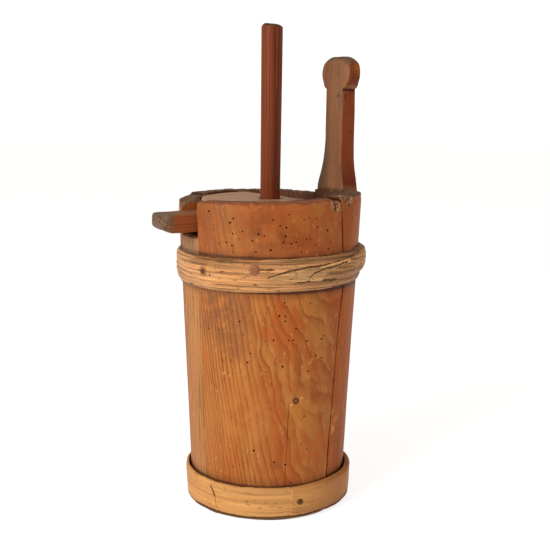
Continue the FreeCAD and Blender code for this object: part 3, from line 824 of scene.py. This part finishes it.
def stave(node, start, end, top, rim=None, cracks=(), seed=1):
    """One stave, counter-clockwise from joint start to joint end. rim changes its top by
    bearing and depth. Each crack is a bearing, a low and a high end, a width and a depth."""
    first, last = JOINTS[start], JOINTS[end]
    if last < first:
        last += 360
    mean = outer_radius(RIM_HEIGHT / 2)
    width = math.radians(last - first) * mean
    columns = [spaced(0, width, 2.2 * MM, 3 * MM, 0.5 * MM)]
    cracks = [(math.radians((bearing - first) % 360) * mean, *rest) for bearing, *rest in cracks]
    for middle, _, _, crack_width, _ in cracks:
        columns.append(middle + crack_width * np.linspace(-1.5, 1.5, 9))
    us = np.unique(np.concatenate(columns).round(6))
    vs = spaced(0, top, 2.2 * MM, 7 * MM, 0.7 * MM)
    ws = spaced(0, WALL, 2.2 * MM, 3 * MM, 0.5 * MM)
    points, faces = box_grid(us, vs, ws)
    edge = min(EDGES.get(start, EDGE), EDGES.get(end, EDGE))
    points = round_box(points, (0, 0, 0), (width, top, WALL), edge)
    across, z, depth = points.T
    share = z / RIM_HEIGHT
    skin = smooth(depth, WALL - 0.8 * MM, WALL)

    sink, sway = np.zeros((2, len(points)))
    for number, (middle, low, high, crack_width, crack_depth) in enumerate(cracks):
        away = across - middle
        wander = np.stack([z, 0 * z, 0 * z], -1)
        wander = waves(wander, 70 * MM, seed + number) + 0.35 * waves(wander, 14 * MM, seed)
        sway += np.degrees(wander * 0.8 * MM / mean) * bell(away, 14 * MM)
        length = smooth(z, low, low + 25 * MM) * (1 - smooth(z, high - 12 * MM, high + 1e-4))
        sink += crack_depth * length * bell(away, crack_width * 0.6) * skin
    # a crack wanders, but the stave's own joints stay where they are
    sway *= smooth(np.minimum(across, width - across), 0, 6 * MM)

    low = first + joint_sway(start, share) + np.degrees(half_gap(start, share) / mean)
    high = last + joint_sway(end, share) - np.degrees(half_gap(end, share) / mean)
    bearing = low + (high - low) * across / width + sway
    flat = polar(bearing, outer_radius(z) - WALL + depth, z)
    radius = outer_radius(z) - WALL + depth - sink
    radius = radius + bumps(flat, (40, 40, 160), 0.35, seed)
    radius = radius + bumps(flat, (9, 9, 60), 0.08, seed + 1)
    near_top = smooth(z, top - 12 * MM, top)
    worn = bumps(flat, 14, 0.35, seed + 2) + bumps(flat, 5, 0.2, seed + 3)
    z = z + worn * near_top
    if rim is not None:
        z = z + rim(bearing, depth) * smooth(z, top - 40 * MM, top)
    corner = near_top * smooth(depth, WALL - 5 * MM, WALL)
    chips = smooth(waves(flat, 9 * MM, seed + 5), 0.5, 1.1)
    z = z - corner * 1.6 * MM * (1 + 0.5 * waves(flat, 22 * MM, seed + 4))
    z = z - corner * chips * 1.5 * MM
    radius = radius - corner * (0.8 * MM + chips * 0.8 * MM)
    return new_piece("old_" + node, polar(bearing, radius, z), faces, WOODS[node])


def front_rim(bearing, depth):
    """The front stave's rim climbs away from the notch and is broken down at its last corner."""
    middle = (JOINTS["notch"] + JOINTS["front"]) / 2
    along = np.sin(np.radians(bearing - middle))
    climb = 2.75 * MM * along - 2.2 * MM
    broken = smooth(bearing, -84, -70) * smooth(depth, 3 * MM, 16 * MM)
    ragged = 1 + 0.6 * waves(polar(bearing, 0.1 + depth, 0 * bearing), 8 * MM, 5)
    return climb - 3.2 * MM * broken * ragged


def back_left_rim(bearing, depth):
    """Worn round towards the notch, most of all at the outside."""
    near = smooth(bearing, 156, 169)
    return -near * (2 * MM + 3.5 * MM * smooth(depth, WALL / 2, WALL))


STAVES = [
    # its joints, counter-clockwise; its node; the change in its rim; its cracks
    ("front", "right", "right_stave", None, []),
    ("notch", "front", "front_stave", front_rim,
     [(-104.2, 16 * MM, 142 * MM, 0.42 * MM, 1.3 * MM)]),
    ("back_left", "notch", "notch_stave", None,
     [(184.5, 292 * MM, 330 * MM, 0.6 * MM, 3 * MM),
      (181.2, 300 * MM, 330 * MM, 0.5 * MM, 2 * MM),
      (187.5, 296 * MM, 316 * MM, 0.5 * MM, 2 * MM)]),
    ("back", "back_left", "back_left_stave", back_left_rim, []),
    ("back_middle", "back", "back_stave", None, [(104, 0, 96 * MM, 0.6 * MM, 2.5 * MM)]),
    ("back_right", "back_middle", "back_middle_stave", None, []),
    ("handle", "back_right", "back_right_stave", None, [(33, 210 * MM, 366 * MM, 0.6 * MM, 3 * MM)]),
]


def notch_cutter():
    """Straight-sided space sawn for the tab."""
    room = Vector((WALL + 30 * MM, 2 * NOTCH_HALF, 60 * MM))
    middle = Vector((-RIM_RADIUS + WALL / 2, 0, NOTCH_FLOOR + room.z / 2 + 0.5 * MM))
    grid = [np.linspace(m - s / 2, m + s / 2, 2) for m, s in zip(middle, room)]
    return new_piece("notch_cutter", *box_grid(*grid))


def worm_holes(bearings, heights, count, seed):
    """Round holes of woodworm, scattered over a stretch of the staves, as one cutter."""
    rng = np.random.default_rng(seed)
    tunnels, taken = [], []
    while len(taken) < count:
        bearing, z = rng.uniform(*bearings), rng.uniform(*heights)
        here = on_skin(bearing, z)
        if any(np.linalg.norm(here - there) < 4.5 * MM for there in taken):
            continue
        taken.append(here)
        outward = polar(bearing + rng.normal(0, 9), 1.0, rng.normal(0, 0.12))
        outward /= np.linalg.norm(outward)
        side = np.cross(outward, (0, 0, 1))
        side /= np.linalg.norm(side)
        up = np.cross(side, outward)
        radius = rng.uniform(0.85, 1.3) * MM
        turn = full_turn(9)[:, None]
        ring = side * np.cos(turn) * radius + up * np.sin(turn) * radius
        tunnels.append([ring + here - outward * 5 * MM, ring + here + outward * 3 * MM])
    return tubes("worm_holes", tunnels)


# each scatter's bearings, heights, count and seed
WORM = {"front_stave": [((-158, -76), mm(304, 350), 30, 3), ((-128, -78), mm(166, 256), 16, 4),
                        ((-166, -130), mm(180, 256), 5, 11), ((-160, -78), mm(44, 140), 7, 5)],
        "right_stave": [((-60, -28), mm(305, 350), 6, 6), ((-58, -25), mm(60, 260), 9, 7)],
        "back_left_stave": [((136, 165), mm(300, 345), 9, 8)],
        "back_middle_stave": [((50, 82), mm(80, 250), 12, 9)],
        "back_stave": [((92, 124), mm(190, 340), 11, 10)]}


def build_staves():
    seeds = {row[2]: number * 10 for number, row in enumerate(STAVES)}
    seeds["notch_stave"] = seeds["front_stave"]     # the two were planed as one
    for start, end, node, rim, cracks in STAVES:
        made = stave(node, start, end, top_of(node), rim, cracks, seeds[node])
        if node in ("front_stave", "back_left_stave"):
            combine(made, notch_cutter())
        for scatter in WORM.get(node, []):
            combine(made, worm_holes(*scatter))
        place(made, "vessel", "stave_wood", node)


# ---- handle stave -------------------------------------------------------------------------

GRIP_TOP = top_of("handle_stave")
SHOULDER, FOOT_TOP, KNOB_LOW = 360.5 * MM, 420 * MM, 480 * MM
FOOT_HALF, NECK_HALF, KNOB_HALF, KNOB_FLAT = 30.5 * MM, 17.8 * MM, 32 * MM, 10 * MM
FOOT_BEND, KNOB_BEND_LOW, KNOB_BEND_TOP = 142 * MM, 19 * MM, 21.5 * MM
GRIP_OUTER, GRIP_INNER, GRIP_FOOT_INNER = 103 * MM, 84.5 * MM, 81.2 * MM


def arc_reach(z, start, end, radius):
    """Half width at a height on the arc between two (half width, height) points, bulging
    outwards if radius > 0."""
    (a, low), (b, high) = start, end
    chord = math.hypot(b - a, high - low)
    rise = math.sqrt(radius ** 2 - (chord / 2) ** 2)
    side = -math.copysign(1, radius)
    middle_half = (a + b) / 2 + side * rise * (high - low) / chord
    middle_z = (low + high) / 2 - side * rise * (b - a) / chord
    return middle_half - side * math.sqrt(max(radius ** 2 - (z - middle_z) ** 2, 0))


def grip_half_width(z):
    """Half width of the grip's board at a height: flared foot, straight neck, round knob."""
    knob_middle = (KNOB_LOW + GRIP_TOP) / 2
    if z < SHOULDER:
        return FOOT_HALF
    if z < FOOT_TOP:
        return arc_reach(z, (FOOT_HALF, SHOULDER), (NECK_HALF, FOOT_TOP), -FOOT_BEND)
    if z < KNOB_LOW:
        return NECK_HALF
    if z < knob_middle:
        return arc_reach(z, (NECK_HALF, KNOB_LOW), (KNOB_HALF, knob_middle), KNOB_BEND_LOW)
    return arc_reach(z, (KNOB_HALF, knob_middle), (KNOB_FLAT, GRIP_TOP), KNOB_BEND_TOP)


def build_grip():
    """The grip, lofted upwards: rounded rectangles as wide as its outline."""
    around = 96
    heights = np.concatenate([np.linspace(SHOULDER - 8 * MM, KNOB_LOW - 2 * MM, 60),
                              KNOB_LOW + (GRIP_TOP - 0.05 * MM - KNOB_LOW) * eased(46)])
    seam = math.tan(math.radians(JOINTS["handle"] - 0.6))   # a little short of its joints
    rings = []
    for z in heights:
        foot = np.clip((FOOT_TOP - z) / (FOOT_TOP - SHOULDER), 0, 1.1)
        knob = float(smooth(z, KNOB_LOW, KNOB_LOW + 8 * MM))
        inner = GRIP_INNER - (GRIP_INNER - GRIP_FOOT_INNER) * foot - 0.4 * MM * knob
        outer = GRIP_OUTER + 0.4 * MM * knob
        over = max(0.0, 1 - (GRIP_TOP - z) / (11 * MM))
        thick = (outer - inner) / 2 * (1 - 0.62 * over ** 2.4)
        ring = rounded_rectangle(thick, grip_half_width(z), (1.8 + 6 * knob) * MM, around)
        x, y = (outer + inner) / 2 + ring[:, 0], ring[:, 1]
        x = np.minimum(x, np.sqrt(RIM_RADIUS ** 2 - y ** 2))
        if z < FOOT_TOP:
            y = np.clip(y, -x * seam, x * seam)
        rings.append(np.stack([x, y, np.full(around, z)], -1))
    sections = np.array(rings)
    flat = sections.reshape(-1, 3)
    free = smooth(flat[:, 2], SHOULDER, SHOULDER + 10 * MM)
    flat[:, 1] += bumps(flat, (60, 60, 90), 0.5, 70) * free
    flat[:, 0] += bumps(flat, (40, 40, 50), 0.3, 71) * free
    return lofted("grip", sections, WOODS["handle_stave"], 50)


def build_handle_stave():
    made = stave("handle_stave", "right", "handle", SHOULDER, seed=90)
    combine(made, build_grip(), 45, "UNION")
    combine(made, grip_worm_holes(), 45)
    place(made, "vessel", "stave_wood", "handle_stave")


def grip_worm_holes():
    """Holes on the camera's side of the grip and on its inner face, two of them slots just
    under the knob. Each is a place in millimetres, a way in, a half width and a half height."""
    side = [((x, -grip_half_width(z * MM) / MM, z), (0, 1, 0), half, tall) for x, z, half, tall in
            ((90, 452, 0.9, 0.9), (96, 430, 0.9, 0.9), (91, 388, 0.9, 0.9), (95, 500, 0.9, 0.9),
             (88.9, 471.5, 0.8, 4.2))]
    face = [((84.4, y, z), (1, 0, 0), half, tall) for y, z, half, tall in
            ((-8.6, 419, 0.8, 0.9), (-8.8, 377, 0.8, 0.9), (-9, 472, 0.9, 2.4))]
    tunnels = []
    turn = full_turn(13)[:, None]
    for middle, inward, half, tall in side + face:
        here, into = np.array(middle) * MM, np.array(inward) * 4 * MM
        across = np.cross(inward, (0, 0, 1))
        ring = (np.cos(turn) * across * half + np.sin(turn) * np.array([0, 0, tall])) * MM
        tunnels.append([ring + here + into, ring + here - into])
    return tubes("grip_worm_holes", tunnels)


# ---- hoops --------------------------------------------------------------------------------

def strip(name, node, turns, low, high, under, over, material, seed, edge=10, rough=1.0):
    """A strip of split wood bent round the staves. At each turn, in degrees to the right of
    the camera's bearing, it reaches from a low to a high height and from an under to an over
    distance off the staves; over is also given the share of the height. One that stands for a
    node goes all the way round."""
    out_share, in_share = eased(34), eased(34)[::-1][3:-3:4]
    share = np.concatenate([out_share, in_share])
    outside = np.concatenate([np.ones(len(out_share)), np.zeros(len(in_share))])
    t = turns[:, None]
    z = low(t) + (high(t) - low(t)) * share
    corner = np.sqrt(np.clip(1 - np.abs(2 * share - 1) ** edge, 0, 1))
    off = under(t) + (over(t, share) - under(t)) * corner * outside
    flat = polar(CAMERA_BEARING + t + 0 * z, outer_radius(z) + off, z).reshape(-1, 3)
    ridges = bumps(flat, (60, 60, 5), 0.28, seed, 16)
    ridges += bumps(flat, (30, 30, 2.6), 0.14, seed + 1, 16)
    ridges += bumps(flat, (26, 26, 30), 0.35, seed + 2)
    ridges *= np.tile(outside, len(turns)) * rough
    edges = bumps(flat, (38, 38, 80), 0.6, seed + 3) + bumps(flat, (11, 11, 80), 0.22, seed + 4)
    scale = 1 + ridges / np.hypot(flat[:, 0], flat[:, 1])
    flat = flat * np.stack([scale, scale, np.ones_like(scale)], -1)
    flat[:, 2] += edges * rough
    sections = flat.reshape(len(turns), len(share), 3)
    made = lofted(name, sections, WOODS[material], 50, loop=bool(node))
    place(made, "vessel", "hoop_wood", *([node] if node else []))


HOOP_TOP, HOOP_LOW, HOOP_RISE = 301 * MM, 264 * MM, 2.7 * MM
ALL_ROUND = np.linspace(-180, 180, 420, endpoint=False)


def build_upper_hoop():
    """The band, its pale pointed tongue, and the thick outer layer that holds the tongue."""
    def lean(turn):
        return HOOP_RISE * np.sin(np.radians(turn))

    def band_over(turn, share):
        round_out = crown(share)
        return (3.4 + 0.8 * share + 2.4 * round_out) * MM - 1.2 * MM * smooth(turn, 30, 60) * round_out

    strip("split_upper_hoop", "upper_hoop", ALL_ROUND, lambda t: HOOP_LOW + lean(t),
          lambda t: HOOP_TOP + lean(t), lambda t: 0.2 * MM + 0 * t, band_over, "upper_hoop", 31)

    def tongue_low(turn):
        return 280.5 * MM - 4.5 * MM * smooth(turn, -1, 14)

    def tongue_high(turn):
        return np.interp(turn, [-1, 11, 22, 35, 46, 58, 70],
                         mm(281.6, 288.6, 292.2, 293.4, 295.2, 297, 302.5))

    def tongue_over(turn, share):
        full = (5.0 + 1.8 * crown(share)) * MM + 1.6 * MM * smooth(turn, -1, 40)
        return 5.4 * MM + (full - 5.4 * MM) * smooth(turn, -3, 6)

    strip("upper_hoop_tongue", None, np.linspace(-1, 56, 110), tongue_low, tongue_high,
          lambda t: 3.0 * MM + 0 * t, tongue_over, "tongue_tip", 35, 14)

    def wrap_high(turn):
        return np.interp(turn, [23, 26, 34, 43, 52, 64, 76, 150],
                         mm(279, 285, 290, 291.8, 294.5, 300, 303.5, 302.5))

    def wrap_over(turn, share):
        grown = smooth(turn, 20, 46) * (1 - smooth(turn, 120, UPPER_LAP_END))
        return (5.0 + 2.0 * crown(share)) * MM + 3.0 * MM * grown * (0.6 + 0.4 * crown(share))

    strip("upper_hoop_wrap", None, np.linspace(22, UPPER_LAP_END, 190),
          lambda t: 275.5 * MM + 0 * t, wrap_high, lambda t: 2.6 * MM + 0 * t, wrap_over,
          "upper_hoop", 39, 12)


def build_lower_hoop():
    """A thin band that has dried loose, doubled to the right of its peg."""
    def low(turn):
        return 1.3 * MM + 1.0 * MM * np.sin(np.radians(turn))

    def high(turn):
        return 39.4 * MM + 1.0 * MM * np.sin(np.radians(turn))

    def slack(turn):
        return 1.0 * MM + 1.8 * MM * (bell(turn + 84, 34) + bell(turn - 80, 26))

    strip("split_lower_hoop", "lower_hoop", ALL_ROUND, low, high, slack,
          lambda t, s: slack(t) + (3.6 - 0.7 * (1 - s)) * MM, "lower_hoop", 47, 22, 0.7)

    def lap_low(turn):
        chips = smooth(waves(polar(turn, RIM_RADIUS, 0 * turn), 8 * MM, 61), 0.1, 0.7)
        chipped = 3 * chips * smooth(turn, 17, 26) * (1 - smooth(turn, 76, 92))
        return low(turn) + (0.9 + chipped) * MM

    def lap_high(turn):
        return high(turn) - 1.6 * MM + 1.8 * MM * smooth(turn, 70, 84)

    def lap_over(turn, share):
        grown = smooth(turn, 16.5, 17.5) + smooth(turn, 18, 60)
        grown = grown - 2 * smooth(turn, 96, LOWER_LAP_END)
        return slack(turn) + (3.6 + 1.2 * grown) * MM

    strip("lower_hoop_lap", None, np.linspace(16.5, LOWER_LAP_END, 300), lap_low, lap_high,
          lambda t: slack(t) + 2 * MM, lap_over, "lower_hoop", 53, 18, 0.7)


def build_pegs():
    """Whittled pegs, their heads worn to low domes."""
    for node, material, bearing, proud in (
            ("upper_hoop_peg", "peg", UPPER_PEG, 7.2 * MM),
            ("lower_hoop_peg", "dark_peg", LOWER_PEG, 7.0 * MM)):
        low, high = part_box(node)
        z, radius = (low.z + high.z) / 2, (high.z - low.z) / 2
        outward = polar(bearing, 1.0, 0.0)
        side = np.cross(outward, (0, 0, 1))
        turn = full_turn(28)
        lumpy = 1 + 0.05 * np.cos(3 * turn) + 0.03 * np.cos(5 * turn + 1)
        ring = side * (np.cos(turn) * lumpy)[:, None] + np.outer(np.sin(turn) * lumpy, (0, 0, 1))
        sections = []
        for back, size in ((14 * MM, 1), (1.4 * MM, 1), (0.6 * MM, 0.93), (0.2 * MM, 0.75),
                           (0.0, 0.4)):
            sections.append(outward * (outer_radius(z) + proud - back) + ring * radius * size
                            + [0, 0, z])
        place(lofted("worn_" + node, sections, WOODS[material], 50), "vessel", "peg_wood", node)


# ---- lid ----------------------------------------------------------------------------------

LID_TOP, LID_LOW = top_of("lid_board"), foot_of("lid_board")
BAR_TOP, BAR_LOW = top_of("lid_bar"), foot_of("lid_bar")
ROD_HOLE = 13 * MM


def build_lid():
    """The disc: a closed section turned round the rod's hole, then worn down to one side."""
    reach = outer_radius(LID_LOW) - WALL - 0.8 * MM
    turns = np.linspace(0, 360, 240, endpoint=False)
    spokes = np.linspace(ROD_HOLE + 1 * MM, reach - 2 * MM, 30)
    section = [(ROD_HOLE, LID_LOW), (ROD_HOLE, LID_LOW + 6 * MM), (ROD_HOLE, LID_TOP - 5 * MM),
               (ROD_HOLE + 0.3 * MM, LID_TOP - 1 * MM)]
    section += [(r, LID_TOP) for r in spokes]
    section += [(reach - 0.8 * MM, LID_TOP - 0.4 * MM), (reach - 0.2 * MM, LID_TOP - 1.4 * MM),
                (reach, LID_TOP - 3 * MM), (reach, (LID_TOP + LID_LOW) / 2), (reach, LID_LOW)]
    section += [(r, LID_LOW) for r in spokes[::-4]]
    section = np.array(section)
    sections = np.array([polar(np.full(len(section), t), section[:, 0], section[:, 1])
                         for t in turns])
    flat = sections.reshape(-1, 3)
    upper = smooth(flat[:, 2], LID_LOW + 6 * MM, LID_TOP - 2 * MM)
    slope = np.clip((flat[:, 0] - 8 * MM) / (73 * MM), 0, None) * 9.3 * MM
    dents = bumps(flat, (70, 24, 50), 0.35, 55) + bumps(flat, (30, 5, 50), 0.12, 56)
    flat[:, 2] += upper * (dents - slope - 0.3 * MM)
    lid = lofted("worn_lid", sections, WOODS["lid"], loop=True)
    combine(lid, bar_solid("bar_housing", WOODS["lid"], 0.15 * MM))
    place(lid, "lid", "lid_wood", "lid_board")


def bar_solid(name, material, room=0.0):
    """The bar and its tab, lofted from the inner end out to the blunt round tip."""
    tip, inner_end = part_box("lid_bar")[0].x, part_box("lid_bar")[1].x
    root, nose = -82 * MM, 15 * MM
    stations = np.concatenate([np.linspace(inner_end + room, tip + nose, 64),
                               tip_steps(tip, -nose, 26)])
    around = 72
    sections = []
    for x in stations:
        out = float(smooth(-x, -root - 2 * MM, -root + 3 * MM))
        point = np.clip((tip + nose - x) / nose, 0, 1)
        blunt = (1 - point ** 2.8) ** (1 / 2.8)
        half = (17.2 + 1.2 * out) * MM * max(blunt, 0.02) + room
        top = BAR_TOP - out * (0.3 * MM + 1.2 * MM * point ** 3) + room
        low = BAR_LOW + 7 * MM * np.clip((tip + 14 * MM - x) / (14 * MM), 0, 1) ** 1.4 - room
        thick = (top - low) / 2 * max((1 - point ** 7) ** 0.2, 0.6)
        ring = rounded_rectangle(half, thick, (0.6 + 1.9 * out) * MM, around)
        sections.append(np.stack([np.full(around, x), ring[:, 0], (top + low) / 2 + ring[:, 1]],
                                 -1))
    sections = np.array(sections)
    flat = sections.reshape(-1, 3)
    free = smooth(-flat[:, 0], -root + 4 * MM, -root + 20 * MM)[:, None]
    uneven = np.stack([waves(flat, mm(40, 22, 22), seed) for seed in (64, 65, 66)], -1)
    flat = flat + uneven * free * 0.4 * MM
    return lofted(name, flat.reshape(sections.shape), material, 50)


def build_bar():
    bar = bar_solid("worn_bar", WOODS["bar"])
    turn = full_turn(64)
    ring = np.stack([ROD_HOLE * np.cos(turn), ROD_HOLE * np.sin(turn), 0 * turn], -1)
    ends = [ring + [0, 0, BAR_LOW - 5 * MM], ring + [0, 0, LID_TOP]]
    combine(bar, lofted("rod_hole", ends, WOODS["bar"]), 50)
    place(bar, "lid", "bar_wood", "lid_bar")


# ---- dasher -------------------------------------------------------------------------------

def build_rod():
    """Whittled rod: not quite round, thicker at the top, its end lopsided with wear. Its
    shoulder sits on the disc and its tenon goes through."""
    low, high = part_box("dasher_rod")
    disc_top = top_of("dasher_disc")
    around, end = 72, 6 * MM
    turn = full_turn(around)
    shaft = np.concatenate([np.linspace(disc_top, high.z - end, 150), tip_steps(high.z, end, 16)])
    stations = [(low.z + 0.4 * MM, 7.6 * MM), (disc_top - 0.01 * MM, 7.6 * MM)]
    for z in shaft:
        radius = 10.4 * MM + 1.6 * MM * (z - disc_top) / (high.z - disc_top)
        left = min((high.z - z) / end, 1)
        stations.append((z, radius * (0.5 + 0.5 * math.sqrt(1 - (1 - left) ** 2.2))))
    sections = []
    for z, radius in stations:
        facets = 1 + 0.012 * np.cos(7 * turn + 8 * z) + 0.008 * np.cos(12 * turn - 12 * z)
        sections.append(np.stack([radius * facets * np.cos(turn), radius * facets * np.sin(turn),
                                  np.full(around, z)], -1))
    sections = np.array(sections)
    flat = sections.reshape(-1, 3)
    near_top = smooth(flat[:, 2], high.z - end, high.z)
    flat[:, 2] += near_top * (bumps(flat, 12, 0.5, 81) - 0.8 * MM - flat[:, 0] * 0.06)
    rod = lofted("whittled_rod", sections, WOODS["rod"], 55)
    place(rod, "dasher", "rod_wood", "dasher_rod")


def build_inner_pieces():
    for node, body, slot, material, voxel in (
            ("bottom_board", "vessel", "bottom_wood", "inner", 1.2 * MM),
            ("dasher_disc", "dasher", "dasher_wood", "inner", 1.0 * MM),
            ("dasher_wedge", "dasher", "rod_wood", "peg", 0.4 * MM)):
        place(worn_copy(node, voxel, WOODS[material]), body, slot, node)


# ---- floor, light and camera --------------------------------------------------------------

def build_room():
    """A round white floor, and a white dome that only fills the camera's background."""
    turn = full_turn(64)
    ring = np.stack([np.cos(turn), np.sin(turn), 0 * turn], -1)
    floor = new_piece("floor", 9 * ring, [list(range(len(turn)))], white("floor_paper", 0.35, 0.8))
    tilt = np.linspace(-0.2, math.pi / 2 - 0.01, 16)
    rings = np.array([10 * (ring * math.cos(a) + np.array([0, 0, math.sin(a)])) for a in tilt])
    dome = lofted("dome", rings, white("dome_white", 0.0, 1.1))
    dome.visible_diffuse = dome.visible_glossy = dome.visible_shadow = False


def white(name, paper, glow):
    """White that glows, so that on the floor only the churn's own shadow shows."""
    g = Graph(name)
    sheet = g.value(0, "ShaderNodeBsdfDiffuse", {"Color": (paper, paper, paper, 1)})
    light = g.value(0, "ShaderNodeEmission", {"Color": (1, 1, 1, 1), "Strength": glow})
    return g.finish(g.value(0, "ShaderNodeAddShader", {0: sheet, 1: light}))


def area_light(name, bearing, distance, height, size, power):
    data = bpy.data.lights.new(name, "AREA")
    data.shape, data.size, data.energy = "DISK", size, power
    lamp = linked(name, data)
    lamp.location = polar(bearing, distance, height)
    aim = Vector((0, 0, 0.25)) - lamp.location
    lamp.rotation_euler = aim.to_track_quat("-Z", "Y").to_euler()


def build_lights():
    world = bpy.data.worlds.new("white_room")
    world.use_nodes = True
    background = world.node_tree.nodes["Background"]
    background.inputs[0].default_value = (1, 0.95, 0.88, 1)
    background.inputs[1].default_value = 0.6
    bpy.context.scene.world = world
    area_light("key", CAMERA_BEARING - 42, 1.5, 1.0, 0.9, 26)


# where the camera stands and how it is turned, as found from the churn's own circles
EYE_DISTANCE, EYE_HEIGHT, LENS = 1112 * MM, 472.4 * MM, 63.26
EYE_DOWN, EYE_RIGHT, EYE_ROLL = 10.57, 0.355, 0.75


def build_camera():
    data = bpy.data.cameras.new("camera")
    data.sensor_width, data.lens = 36, LENS
    camera = linked("camera", data)
    facing = math.radians(CAMERA_BEARING + 90 - EYE_RIGHT)
    turned = (Matrix.Rotation(facing, 4, "Z")
              @ Matrix.Rotation(math.radians(90 - EYE_DOWN), 4, "X")
              @ Matrix.Rotation(math.radians(EYE_ROLL), 4, "Z"))
    eye = Matrix.Translation(polar(CAMERA_BEARING, EYE_DISTANCE, EYE_HEIGHT))
    camera.matrix_world = eye @ turned
    bpy.context.scene.camera = camera
    bpy.context.scene.view_settings.view_transform = "Standard"


build_camera()
build_lights()
build_room()
make_woods()
build_staves()
build_handle_stave()
build_upper_hoop()
build_lower_hoop()
build_pegs()
build_lid()
build_bar()
build_rod()
build_inner_pieces()
